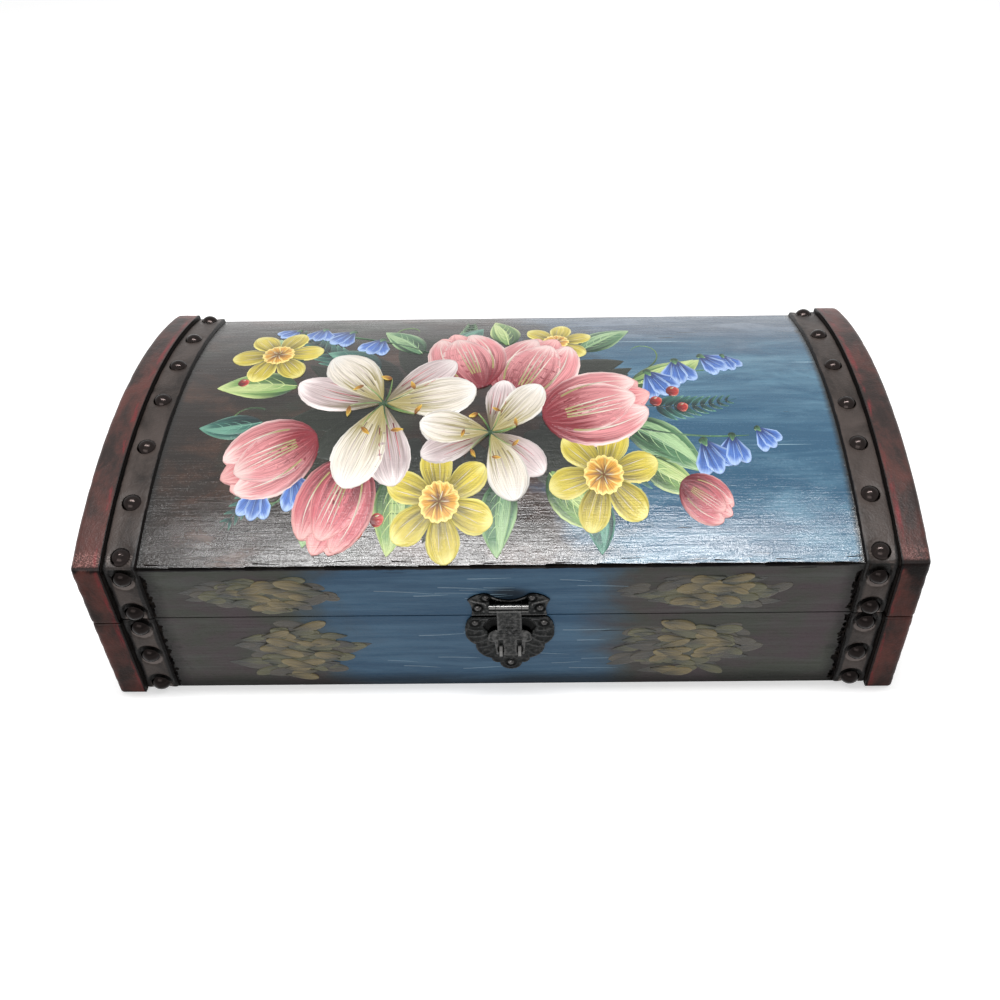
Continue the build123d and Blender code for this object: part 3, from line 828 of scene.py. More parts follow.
leaves = [
    ((-82, 14), 172, 32, 15, leafLime, 20), ((-84, 24), 130, 26, 14, leafGreen, -24),
    ((-62, -22), 244, 30, 15, leafGreen, 22), ((-40, -26), 280, 28, 15, leafLime, -20),
    ((2, -28), 252, 27, 14, leafGreen, 24), ((18, -26), 306, 28, 15, leafLime, 18),
    ((46, -6), 338, 36, 16, leafGreen, -26), ((50, 12), 16, 34, 15, leafLime, 22),
    ((32, 34), 52, 28, 14, leafGreen, -26), ((2, 40), 96, 24, 13, leafLime, 20),
    ((-34, 34), 122, 26, 13, leafGreen, 24), ((-92, -4), 196, 24, 11, leafTeal, -20),
    ((52, -20), 318, 26, 12, leafLime, 20), ((-20, 36), 70, 22, 12, leafTeal, -18),
    ((-50, 24), 146, 26, 13, leafTeal, 18), ((34, -34), 286, 20, 11, leafTeal, -20),
]
tendrils = [
    ((-92, 2), 160, 26, 90, 160), ((58, -14), 330, 30, -70, -180), ((-44, 44), 130, 24, -80, -150),
    ((30, -42), 300, 20, 80, 160), ((-76, -32), 226, 24, -60, -160), ((58, 22), 40, 28, 60, 170),
]
for at, angle, long, bend, pot in ferns:
    startLayer(6)
    paintFern(at, angle, long, bend, pot)
for at, angle, long, bend, swirl in tendrils:
    startLayer(7)
    paintStem(at, angle, long, bend, 0.8, leafLime, swirl)
for at, angle, long, wide, pot, bend in leaves:
    startLayer(26)
    paintLeaf(at, angle, long, wide, pot, bend)
dryPaint("lid_painted_leaves", "lid")

startLayer(30)
for at, angle, long, bend in (((-30, 34), 150, 62, 26), ((40, 8), 30, 50, -30), ((-52, -16), 206, 44, 20),
                              ((50, -8), -14, 44, 18)):
    paintStem(at, angle, long, bend, 1.1, leafGreen)
bells = [
    ((-52, 46), 250, 13), ((-66, 54), 236, 14), ((-79, 57), 262, 12), ((-90, 56), 228, 10),
    ((58, 20), 300, 15), ((70, 27), 275, 14), ((81, 30), 318, 13), ((90, 30), 290, 10),
    ((76, -14), 292, 14), ((87, -12), 268, 12), ((97, -9), 306, 10),
    ((-76, -26), 290, 13), ((-88, -30), 262, 12),
]
for at, angle, size in bells:
    startLayer(32)
    paintBell(at, angle, size)
dryPaint("lid_painted_bellflowers", "lid")

for at, size, turn in (((-94, 34), 18, 10), ((-22, -36), 20, 40), ((38, -27), 20, 75), ((22, 42), 15, 20)):
    startLayer(40)
    paintDaffodil(at, size, turn)
dryPaint("lid_painted_daffodils", "lid")

tulips = [
    ((4, 4), 66, 42, petalPink, petalRose), ((16, -4), 16, 42, petalPink, petalRose),
    ((-8, 12), 110, 38, petalPink, petalRose), ((-70, -10), 208, 36, petalPink, petalRose),
    ((-54, -20), 250, 34, petalRose, petalRose), ((66, -30), 326, 20, petalRose, petalRose),
]
for k, (at, angle, size, pot, backPot) in enumerate(tulips):
    startLayer(62 + 8 * (k % 3))
    paintTulip(at, angle, size, pot, backPot)
dryPaint("lid_painted_tulips", "lid")

startLayer(92)
paintLily((-46, 4), 37, 12)
startLayer(102)
paintLily((-4, -10), 28, 50)
dryPaint("lid_painted_lilies", "lid")

berries = [
    ((60, 4), 5), ((67, 9), 5.5), ((70, 1), 4.6), ((-44, -42), 5), ((-51, -46), 4.6), ((-104, 16), 4.6),
]
for at, size in berries:
    startLayer(42)
    paintBerry(at, size)
dryPaint("lid_painted_berries", "lid")

# The fronts: sprigs of ochre and olive dabs, and pale ripples across the blue
oliveDab = mixed((0.026, 0.029, 0.018), (0.078, 0.074, 0.030), (0.125, 0.115, 0.050))
duskDab = mixed((0.022, 0.022, 0.018), (0.046, 0.038, 0.026), (0.070, 0.060, 0.036))
blackPot = mixed((0.003, 0.003, 0.003), (0.004, 0.003, 0.003), (0.004, 0.003, 0.003))
ripplePot = mixed((0.13, 0.21, 0.28), (0.17, 0.27, 0.34), (0.2, 0.3, 0.4))


def onLip(x, s, lift):
    # s runs in over the dome from its front edge
    angle = s / panelRadius - math.asin(panelEdge / panelRadius)
    return x, (panelRadius + lift) * np.sin(angle), domeCentre + (panelRadius + lift) * np.cos(angle)


def onPly(x, z, lift):
    return x, -panelEdge - lift, z


def paintGlaze():
    # Ragged black along the front edge of the dome, on both sides of the bend
    side = strapInner / mm
    x = -side
    while x < side:
        long = paintHand.uniform(14, 34)
        startLayer(0)
        wide = paintHand.uniform(0.9, 1.7)
        length = min(x + long, side + 0.2) - x + 2
        bend = paintHand.uniform(-1, 1)
        brush("line", (x - 2, 0.1), 0, length, wide, blackPot, bend=bend, lay=onLip, rim=0)
        wide = paintHand.uniform(1.6, 2.6)
        bend = paintHand.uniform(-1, 1)
        brush("line", (x - 2, edgeTop / mm - 0.2), 0, length, wide, blackPot, bend=bend, lay=onPly, rim=0)
        if paintHand.random() < 0.75:
            start = (x + paintHand.uniform(0, 8), paintHand.uniform(0.8, 2.6))
            angle = paintHand.uniform(-3, 3)
            length = paintHand.uniform(4, 12)
            brush("line", start, angle, length, paintHand.uniform(0.3, 0.7), blackPot, lay=onLip, rim=0)
        x += long * 0.8
    dryPaint("lid_edge_glaze", "lid", blackGlaze)


def paintSmudges(part, low, high):
    # Black beside the straps on the front with an uneven edge, more of it on the right
    for sign, amount, reach in ((-1, 80, 1.3), (1, 190, 1.9)):
        for k in range(amount):
            startLayer(k % 3)
            size = paintHand.uniform(0.6, 1.9)
            away = paintHand.random() ** 2.0 * reach
            z = paintHand.uniform(low + size, high - size)
            away *= 0.6 + 0.6 * math.sin(z / 4.1 + sign) ** 2
            middle = (sign * (strapInner / mm - away), z)
            angle = paintHand.uniform(0, 360)
            start = ray(middle, angle + 180, size / 2)
            wide = size * paintHand.uniform(0.8, 1.15)
            bend = paintHand.uniform(-15, 15)
            brush("cup", start, angle, size, wide, blackPot, bend=bend, lay=onFront, rim=0)
        z = low
        while z < high - 2:
            startLayer(3)
            end = min(high, z + paintHand.uniform(7, 14))
            start = (sign * (strapInner / mm - 0.2), z)
            wide = paintHand.uniform(1.4, 2.4)
            brush("line", start, 90, end - z, wide, blackPot, lay=onFront, rim=0)
            z = end - 1.8
    dryPaint(f"{part}_front_glaze", part, blackGlaze)


def paintTuft(at, across, low, high, count, pots):
    # Broad dabs that lie one over the other like foliage, lighter and smaller as they come forward
    for k in range(count):
        nearness = k / count
        wide = paintHand.uniform(3.2, 5.4) * (1.1 - 0.2 * nearness)
        long = wide * paintHand.uniform(2.2, 3.2)
        angle = paintHand.choice((0, 180)) + paintHand.uniform(-14, 14)
        turn = paintHand.uniform(0, 2 * math.pi)
        far = math.sqrt(paintHand.random()) * (1 - 0.25 * nearness)
        up = (low + high) / 2 + (high - low) / 2 * far * math.sin(turn)
        start = ray((at + across * far * math.cos(turn), up), angle + 180, long / 2)
        ends = (start[1], 2 * up - start[1])
        if low < min(ends) - wide / 2 and max(ends) + wide / 2 < high:
            pot = pots[min(2, int(3 * nearness + paintHand.uniform(0, 0.8)))]
            bend = paintHand.uniform(-26, 26)
            brush("petal", start, angle, long, wide, pot, bend=bend, lay=onFront, rim=0.4)


def paintFront(part, low, high):
    dull = (duskDab, duskDab, oliveDab)
    ochre = (duskDab, oliveDab, ochreDab)
    left, right = (-86, 74) if part == "lid" else (-78, 66)
    for at, across in ((left, 26), (right, 28)):
        startLayer(0)
        paintTuft(at, across, low, high, 46, dull)
        paintTuft(at + 3, across * 0.62, low, high, 40, ochre)
    for k in range(12):
        startLayer(0)
        place = (paintHand.uniform(-48, 34), paintHand.uniform(low + 2, high - 2))
        angle = paintHand.uniform(-3, 3)
        long = paintHand.uniform(10, 24)
        wide = paintHand.uniform(0.3, 0.6)
        brush("line", place, angle, long, wide, ripplePot, bend=paintHand.uniform(-8, 8), lay=onFront, rim=0)
    dryPaint(f"{part}_front_painted_sprigs", part)


paintFront("lid", seamHigh / mm + 1.2, edgeTop / mm - 4.2)
paintFront("base", 3.0, seamLow / mm - 1.2)
paintGlaze()
paintSmudges("lid", seamHigh / mm + 0.3, edgeTop / mm - 3.3)
paintSmudges("base", 0.6, seamLow / mm - 0.3)
for blank, _ in strokeBlanks.values():
    bpy.data.objects.remove(blank)
strokeBlanks.clear()
print("spray painted")


# Leatherette, bare board, felt and metal
leatherBlack = (0.003, 0.0025, 0.0025)


def leatherette(name, shine, deep, warm, streakColour, streakAt, streakWidth, blackAt):
    # Antiqued with mottled black and with black beside the edges that on the fronts is partly painted shade,
    # black under the bend, painted shade above each stud and painted highlights on the lip below it and on
    # top of the bend
    material, shader = newFinish(name, Roughness=0.40, Specular_IOR_Level=shine)
    place = objectPlace()
    x, y, z = parts(place)
    mottle = stretched(place, (70, 40, 40), 6, 0.65, 0.4)
    rub = stretched(place, (300, 60, 60), 5, 0.7, 0.2, (5, 5, 5))
    speckle = stretched(place, (1700, 1700, 1700), 4, 0.7, 0.0, (1, 1, 1))
    colour = blended(between(mottle, 0.38, 0.64), deep, warm)
    side = abs(x)
    line = between(abs(side - streakAt), 0.0, streakWidth, 1, 0) * between(rub, 0.46, 0.66, 0, 0.85)
    colour = blended(line, colour, streakColour)
    # painted sheen: light speckles on top of the bend where the dome meets the front
    bend = between(abs(y), bandHalfWidth - 0.008, bandHalfWidth - 0.005)
    bend = bend * between(z, bandTop - 0.016, bandTop - 0.0145)
    wearAndSheen = bend * between(speckle, 0.49, 0.58, 0, 0.8) * between(x, -0.1, 0.1, 1, 0.45)
    colour = blended(wearAndSheen, colour, tuple(min(1.0, 3.0 * c + 0.05) for c in warm))
    black = between(mottle + speckle * 0.25, 0.46, 0.60, 0.45, 0)
    colour = blended(black, colour, (0.005, 0.004, 0.004))
    # black that darkens the front just under the bend, more of it on the right
    drop = bandTop - domeRise - z + (mottle - 0.5) * 0.012
    deepest = between(x, 0.137, 0.148, 0.0022, 0.0125)
    under = between(drop / deepest, 0.45, 1.2, 0.92, 0)
    under = under * between(z, bandTop - domeRise + 0.0008, bandTop - domeRise + 0.0002)
    under = under * between(y, -bandHalfWidth + 0.004, -bandHalfWidth + 0.001)
    colour = blended(under, colour, leatherBlack)
    # black beside the edges, wider on the fronts, where it is partly painted shade of the step at the edge
    for at, reach in blackAt:
        far = abs(side - at) + (rub - 0.5) * reach
        share = between(far / between(z, 0.066, 0.072, reach, reach * 0.4), 0.6, 1.1, 0.95, 0)
        colour = blended(share, colour, leatherBlack)
    # painted shade above each stud's head in its hollow and a painted highlight on the lip below it
    pitShadeAndHighlight = painted("pitShadeAndHighlight")
    colour = blended(between(pitShadeAndHighlight, -0.8, -0.1, 0.96, 0), colour, leatherBlack)
    colour = blended(between(pitShadeAndHighlight, 0.15, 1.0, 0, 0.8), colour, tuple(min(1.0, 2.4 * c + 0.05) for c in warm))
    feed(shader.inputs["Base Color"], colour)
    pebble = addNode("TexVoronoi", {"Vector": place, "Scale": 1500.0}, feature="SMOOTH_F1")
    fine = stretched(place, (700, 700, 700), 5, 0.7)
    crease = stretched(place, (160, 160, 160), 4, 0.6, 0.8)
    normal = bumped(pebble, 0.00012, 0.6)
    normal = bumped(fine, 0.0001, 0.6, normal)
    normal = bumped(crease, 0.0004, 0.45, normal)
    giveSurface(shader, normal)
    return material


endTones = [(0.030, 0.018, 0.016), (0.082, 0.029, 0.024), (0.17, 0.020, 0.024), bandInner + 0.0016, 0.0015,
            [(bandInner, 0.0009)]]
strapTones = [(0.030, 0.023, 0.020), (0.058, 0.045, 0.040), (0.06, 0.044, 0.040), strapInner, 0.0006,
              [(strapInner, 0.0021), (strapOuter, 0.0021)]]
endLeather = leatherette("burgundy leatherette", 0.22, *endTones)
mattEndLeather = leatherette("matt burgundy leatherette", 0.05, *endTones)
strapLeather = leatherette("dark strap leatherette", 0.19, *strapTones)
mattStrapLeather = leatherette("matt strap leatherette", 0.13, *strapTones)
for side in ("left", "right"):
    for part in ("lid", "base"):
        cadNodes[f"{part}_{side}_cover"].data.materials[0] = endLeather
    cadNodes[f"lid_{side}_strap"].data.materials[0] = strapLeather
    for end in ("front", "back"):
        cadNodes[f"base_{end}_{side}_strap"].data.materials[0] = strapLeather


def darkMetal(name, base, wearAndSheen, roughness, mottle=0.35, shadedFrom=1.0):
    # Blackened, with bare metal where the pressed relief stands proud and black in its hollows
    material, shader = newFinish(name, Metallic=1.0)
    place = objectPlace()
    relief = painted("relief")
    tone = stretched(place, (700, 700, 700), 5, 0.6)
    scuff = stretched(place, (2400, 2400, 2400), 3, 0.6)
    colour = blended(between(tone, 0.46, 0.78, 0, mottle), base, wearAndSheen)
    rubbed = relief + (tone - 0.5) * 0.4
    colour = blended(between(rubbed, 0.13, 0.50), colour, wearAndSheen)
    colour = blended(between(relief, 0.50, 0.62), colour, tuple(1.5 * c for c in wearAndSheen))
    colour = blended(between(relief, -0.24, -0.05, 1, 0), colour, (0.0010, 0.0010, 0.0010))
    # painted shade: what stands upright at the front or back is darker than what lies on the dome
    y = parts(place)[1]
    uprightShade = between(abs(y), shadedFrom, shadedFrom + 0.0006, 0, 0.75)
    colour = blended(uprightShade, colour, tuple(0.3 * c for c in base))
    feed(shader.inputs["Base Color"], colour)
    feed(shader.inputs["Roughness"], between(tone, 0.35, 0.70, roughness, roughness + 0.16))
    normal = bumped(tone, 0.00005, 0.3)
    normal = bumped(scuff, 0.00002, 0.35, normal)
    giveSurface(shader, normal)
    return material


def bareBoard(name, dark, pale, scale):
    material, shader = newFinish(name, Roughness=0.72, Specular_IOR_Level=0.2)
    place = objectPlace()
    grain = stretched(place, scale, 6, 0.68, 0.3)
    pore = stretched(place, tuple(4 * s for s in scale), 4, 0.65, 0.1, (3, 3, 3))
    stain = stretched(place, (30, 30, 30), 4, 0.6)
    colour = blended(between(grain, 0.34, 0.66), dark, pale)
    colour = blended(between(pore, 0.52, 0.70, 0, 0.5), colour, tuple(c * 0.4 for c in dark))
    colour = blended(between(stain, 0.45, 0.72, 0, 0.45), colour, dark)
    feed(shader.inputs["Base Color"], colour)
    giveSurface(shader, bumped(pore, 0.0001, 0.5, bumped(grain, 0.0001, 0.4)))
    return material


def redFelt():
    material, shader = newFinish("dark red felt", Roughness=0.95, Specular_IOR_Level=0.1,
                                 Sheen_Weight=0.25, Sheen_Roughness=0.5)
    place = objectPlace()
    fibre = stretched(place, (1500, 1500, 1500), 5, 0.75, 1.2)
    patch = stretched(place, (55, 55, 55), 5, 0.65)
    colour = blended(between(fibre, 0.36, 0.66), (0.050, 0.006, 0.008), (0.150, 0.022, 0.022))
    colour = blended(between(patch, 0.42, 0.70, 0, 0.5), colour, (0.052, 0.007, 0.009))
    feed(shader.inputs["Base Color"], colour)
    giveSurface(shader, bumped(fibre, 0.00035, 0.7))
    return material


studBronze = darkMetal("dark bronze", (0.025, 0.020, 0.019), (0.050, 0.038, 0.033), 0.12,
                       shadedFrom=-frontY + 0.0012)
latchMetal = darkMetal("blackened metal", (0.010, 0.0105, 0.0105), (0.100, 0.098, 0.095), 0.22)
nailMetal = darkMetal("blackened nail", (0.045, 0.043, 0.042), (0.30, 0.29, 0.28), 0.12, 0.4)
endBoard = bareBoard("stained end board", (0.005, 0.004, 0.0035), (0.014, 0.010, 0.008), (300, 12, 300))
bottomBoard = bareBoard("stained bottom board", (0.030, 0.019, 0.012), (0.085, 0.052, 0.031),
                        (12, 300, 300))
feltCloth = redFelt()
for nodeName, piece in cadNodes.items():
    if "studs" in nodeName:
        piece.data.materials[0] = studBronze
    if "latch" in nodeName or "hinge" in nodeName:
        piece.data.materials[0] = nailMetal if "nails" in nodeName else latchMetal
    if nodeName.endswith("_end"):
        piece.data.materials[0] = endBoard
    if "lining" in nodeName:
        piece.data.materials[0] = feltCloth
cadNodes["base_bottom_panel"].data.materials[0] = bottomBoard
print("leatherette and metal done")

# Leatherette over the ends
cover = {
    "step": 1.6 * mm,
    "skin": 0.55 * mm,
    "wrinkle": 0.10 * mm,
    "sag": 0.16 * mm,
    "near": 0.3 * mm,
    "turnedIn": 2.6 * mm,
    "gap": 0.03 * mm,
    "folds": {"deep": 0.12 * mm, "pitch": 1.1 * mm, "reach": 7 * mm},
}


def outerSkin(piece, inside):
    # Keeps only the faces that look away from a point inside
    openMesh(piece, "DESELECT")
    closeMesh()
    for face in piece.data.polygons:
        face.select = face.normal.dot(face.center - inside) < cover["near"]
    bpy.ops.object.mode_set(mode="EDIT")
    bpy.ops.mesh.select_mode(type="FACE")
    bpy.ops.mesh.delete(type="FACE")
    bpy.ops.mesh.select_mode(type="VERT")
    bpy.ops.mesh.select_all(action="SELECT")
    bpy.ops.mesh.delete_loose()
    closeMesh()


def turnIn(piece, sign, foot):
    # The inner edge of the skin is folded in, down to the panel, so that no bare board shows
    openMesh(piece, "DESELECT")
    bpy.ops.mesh.select_mode(type="EDGE")
    bpy.ops.mesh.select_non_manifold()
    closeMesh()
    places = piece.data.vertices
    for edge in piece.data.edges:
        middle = (places[edge.vertices[0]].co + places[edge.vertices[1]].co) / 2
        inner = abs(middle.x * sign - bandInner) < cover["near"]
        level = min(abs(middle.z - foot), abs(middle.z - seamLow)) < cover["near"]
        uprightShade = middle.z > seamHigh + 1 * mm or abs(middle.y) > panelEdge
        edge.select = edge.select and inner and uprightShade and not level
    bpy.ops.object.mode_set(mode="EDIT")
    bpy.ops.mesh.extrude_region_move()
    closeMesh()
    for vertex in places:
        if vertex.select:
            place = vertex.co
            if abs(place.y) > bandHalfWidth - 1.2 * mm and place.z < edgeTop + 1 * mm:
                place.y = math.copysign(abs(place.y) - cover["turnedIn"], place.y)
            else:
                outward = Vector((0, place.y, place.z - domeCentre)).normalized()
                place -= outward * cover["turnedIn"]
            place.x = sign * (bandInner + cover["gap"])


def makeCover(part, side):
    sign = -1 if side == "left" else 1
    node = f"{part}_{side}_cover"
    low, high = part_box(node)
    folds = cover["folds"]
    piece = mergedCopy(node, f"{node}_leather")
    outerSkin(piece, Vector((sign * bandInner, 0, (low.z + high.z) / 2)))
    dice(piece, node, cover["step"])

    def wrinkled(co, normal):
        edge = min(1.0, abs(abs(co.x) - bandInner) / (2 * mm))
        lumps = crumple(co, 9 * mm, 3) * cover["sag"] + crumple(co, 3.2 * mm, 8) * cover["wrinkle"]
        # folds gather at the corner where the dome meets the front
        corner = max(0.0, 1 - abs(abs(co.y) - bandHalfWidth + 2 * mm) / folds["reach"])
        fold = corner * folds["deep"] * math.sin(co.z / folds["pitch"] + 2 * crumple(co, 6 * mm))
        return co + normal * (min(0.0, lumps + fold) * edge)

    shape(piece, wrinkled)
    turnIn(piece, sign, low.z)
    pick(piece)
    skin = piece.modifiers.new("Solidify", "SOLIDIFY")
    skin.thickness = cover["skin"]
    skin.offset = -1.0
    bpy.ops.object.modifier_apply(modifier=skin.name)
    for vertex in piece.data.vertices:
        # nothing of the fold reaches past the seam or the floor
        vertex.co.z = min(max(vertex.co.z, low.z), high.z)
    finishPiece(piece, endLeather, part, "end_leatherette", node)
    dullFaces(piece, mattEndLeather)


# Straps with their folds, laid along the front, over the dome and down the back
strap = {
    "thick": 1.45 * mm,
    "under": 0.05 * mm,
    "rings": 26,
    "step": 0.8 * mm,
    "endRound": 0.9 * mm,
    "pitDepth": {"flat": 0.42 * mm, "dome": 0.14 * mm},
    "pitWidth": 1.5 * mm,
    "pillow": {"flat": 0.30 * mm, "dome": 0.05 * mm},
    # distances from a stud's middle: the pit's flat floor, and how far the pit is looked for
    "pitFloor": 3.2 * mm,
    "pitReach": 12 * mm,
    # painted shade above each head and painted highlight on the lip below it: place and width
    "black": (3.4 * mm, 1.1 * mm),
    "lip": (4.3 * mm, 0.65 * mm),
    # creases that gather under the bend
    "creases": {"deep": 0.10 * mm, "pitch": 0.45 * mm, "reach": 3.5 * mm},
}
studApart = 2.2 * mm
studPlaces = {}


def studCentres(nodeName):
    # The middle of each stud of a group: its box grows from one vertex until it takes in no more
    if nodeName not in studPlaces:
        rest = np.unique(np.array([v.co for v in cadNodes[nodeName].data.vertices]).round(5), axis=0)
        studPlaces[nodeName] = []
        while len(rest):
            group = rest[:1]
            inside = np.zeros(len(rest), bool)
            while True:
                nearby = ((rest > group.min(0) - studApart) & (rest < group.max(0) + studApart)).all(1)
                if (nearby == inside).all():
                    break
                inside = nearby
                group = rest[inside]
            studPlaces[nodeName].append(Vector((group.min(0) + group.max(0)) / 2))
            rest = rest[~inside]
    return studPlaces[nodeName]


def strapRoute(part, sign):
    # Runs of the strap: length, and a function from the place along it to a point (y, z) and its normal
    face = -frontY + strap["under"]
    if part == "base":
        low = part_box("base_front_left_strap")[0].z
        return [(seamLow - low, lambda a: ((sign * face, low + a), (sign, 0.0), "flat"))]
    reach = panelRadius + strap["under"]
    edgeAngle = math.asin(face / reach)
    top = domeCentre + reach * math.cos(edgeAngle)
    wall = top - seamHigh
    turn = math.pi / 2 - edgeAngle
    corner = strap["thick"] * turn

    def facing(angle):
        return math.sin(angle), math.cos(angle)

    def upFront(a):
        return (-face, seamHigh + a), (-1.0, 0.0), "flat"

    def frontCorner(a):
        return (-face, top), facing(turn * a / corner - math.pi / 2), "dome"

    def overDome(a):
        way = facing(a / reach - edgeAngle)
        return (reach * way[0], domeCentre + reach * way[1]), way, "dome"

    def backCorner(a):
        return (face, top), facing(edgeAngle + turn * a / corner), "dome"

    def downBack(a):
        return (face, top - a), (1.0, 0.0), "flat"

    return [(wall, upFront), (corner, frontCorner), (2 * edgeAngle * reach, overDome), (corner, backCorner),
            (wall, downBack)]


def alongRoute(route, a):
    for k, (length, place) in enumerate(route):
        if a <= length or k == len(route) - 1:
            return place(min(a, length))
        a -= length


def makeStrap(part, side, end=None):
    xSign = -1 if side == "left" else 1
    sign = {"front": -1, "back": 1, None: 0}[end]
    route = strapRoute(part, sign)
    total = sum(length for length, _ in route)
    node = f"lid_{side}_strap" if part == "lid" else f"base_{end}_{side}_strap"
    middle = xSign * (strapInner + strapOuter) / 2
    half = (strapOuter - strapInner) / 2
    studs = studCentres(f"{part}_{side}_studs")
    count = int(total / strap["step"])
    bpy.ops.mesh.primitive_grid_add(x_subdivisions=strap["rings"] * 2, y_subdivisions=count, size=2)
    piece = bpy.context.object
    piece.name = f"{node}_leather"
    pitShadesAndHighlights = []
    blackAt, blackWide = strap["black"]
    lipAt, lipWide = strap["lip"]
    creases = strap["creases"]

    def laid(co, _):
        # the sheet is rolled round the section along its x and follows the strap along its y
        a = (co.y + 1) / 2 * total
        turn = co.x * math.pi
        # a flat section with rounded edges: w across it and rise up from the wood
        w = half * (1 - 2 * abs(turn) / math.pi)
        rise = max(0.0, 1 - abs(w / half) ** 8) ** 0.16 if turn > 0 else 0.0
        (y, z), (ny, nz), zone = alongRoute(route, a)
        normal = Vector((0, ny, nz))
        foot = Vector((middle + w, y, z))
        fromEnd = min(a, total - a)
        high = strap["thick"]
        pitShadeAndHighlight = 0.0
        for centre in studs:
            away = foot + normal * high - centre
            away -= normal * away.dot(normal)
            d = away.length
            if d < strap["pitReach"]:
                slope = max(0, d - strap["pitFloor"]) / strap["pitWidth"]
                high -= strap["pitDepth"][zone] * math.exp(-slope ** 2)
                # painted shade above each head on the fronts and a painted highlight on the lip below it
                if zone == "flat":
                    lift = away.z / max(d, 0.1 * mm)
                    pitShadeAndHighlight -= max(0.0, 0.35 + lift) * math.exp(-(max(0, d - blackAt) / blackWide) ** 2)
                    pitShadeAndHighlight += max(0.0, -0.45 - lift) * 2.2 * math.exp(-((d - lipAt) / lipWide) ** 2)
        pitShadesAndHighlights.append(pitShadeAndHighlight)
        high -= strap["pillow"][zone] * (w / half) ** 2 * 0.6
        fromBend = abs(a - route[0][0]) / creases["reach"]
        if part == "lid" and a < route[0][0]:
            wave = 1 + math.sin(a / creases["pitch"] + 3 * crumple(foot, 4 * mm))
            high -= max(0.0, 1 - fromBend) * creases["deep"] * wave
        high += min(0.0, crumple(foot, 5 * mm, 4) * 0.12 * mm + crumple(foot, 2 * mm, 9) * 0.06 * mm)
        if fromEnd < strap["endRound"]:
            high *= 0.45 + 0.55 * math.sqrt(1 - (1 - fromEnd / strap["endRound"]) ** 2)
        ragged = 1 - 0.018 * (1 + crumple(foot, 3 * mm, 6)) * rise
        return Vector((middle + w * ragged, y, z)) + normal * (high * rise + (0 if rise else 0.02 * mm))

    shape(piece, laid)
    piece.data.attributes.new("pitShadeAndHighlight", "FLOAT", "POINT").data.foreach_set("value", pitShadesAndHighlights)
    openMesh(piece)
    bpy.ops.mesh.remove_doubles(threshold=0.001 * mm)
    bpy.ops.mesh.fill_holes(sides=0)
    bpy.ops.mesh.normals_make_consistent(inside=False)
    closeMesh()
    finishPiece(piece, strapLeather, part, "strap_leatherette", node, smooth=50)
    dullFaces(piece, mattStrapLeather)


for side in ("left", "right"):
    for part in ("lid", "base"):
        makeCover(part, side)
    makeStrap("lid", side)
    for end in ("front", "back"):
        makeStrap("base", side, end)
print("covers and straps laid")


# Pressed metal of the latch and hinges: a raised rim, ribs like curled leaves and dark hollows
pressed = {
    "step": {"latch": 0.4 * mm, "hinge": 0.9 * mm},
    "rings": (0.20 * mm, 0.30 * mm, 0.30 * mm),
    "flat": 0.03 * mm,
    "nailHead": (1.4, 0.7),
    "rubbed": {"latch_hasp": 0.22, "latch_upper_plate": 0.08},
}
farAway = 99.0
latchMiddle = (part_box("latch_hasp")[0].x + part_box("latch_hasp")[1].x) / 2
latchAxis = (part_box("latch_pin")[0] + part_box("latch_pin")[1]) / 2
plateFace = frontY - 0.7 * mm
haspFace = frontY - 1.7 * mm
leafFace = -frontY + 0.9 * mm
barrel = {"radius": 1.6 * mm, "stepAt": 14, "stepWidth": 12, "stepDepth": 0.34}


def farFrom(points, line):
    # Distance from each point to a run of straight pieces, all in mm
    best = np.full(len(points), farAway)
    for a, b in zip(np.array(line[:-1], float), np.array(line[1:], float)):
        along = b - a
        share = np.clip((points - a) @ along / max(1e-9, along @ along), 0, 1)
        best = np.minimum(best, np.linalg.norm(points - a - share[:, None] * along, axis=1))
    return best


def scroll(at, angle, length, bend):
    # A line that starts at an angle and curls as it goes, in mm and degrees
    points = [at]
    steps = 14
    for k in range(steps):
        turn = math.radians(angle + bend * (k + 0.5) / steps)
        x, z = points[-1]
        points.append((x + math.cos(turn) * length / steps, z + math.sin(turn) * length / steps))
    return points


def bell(value, at, wide):
    return np.exp(-((value - at) / wide) ** 2)


def mirrored(points):
    # Both halves take the shape of the right one
    return np.abs(points * (1, 0)) + points * (0, 1)


def rib(points, line, half, high):
    return high * np.clip(1 - (farFrom(points, line) / half) ** 2, 0, 1) ** 0.7


def hollow(points, corners, depth, slope):
    # A sunk patch with sloping sides: positive inside the polygon
    inside = np.zeros(len(points), bool)
    for (ax, ay), (bx, by) in zip(corners, corners[1:] + corners[:1]):
        crosses = (ay > points[:, 1]) != (by > points[:, 1])
        if ay != by:
            inside ^= crosses & (points[:, 0] < (bx - ax) * (points[:, 1] - ay) / (by - ay) + ax)
    away = farFrom(points, corners + corners[:1])
    return -depth * np.clip(np.where(inside, away, -away) / slope + 0.5, 0, 1)


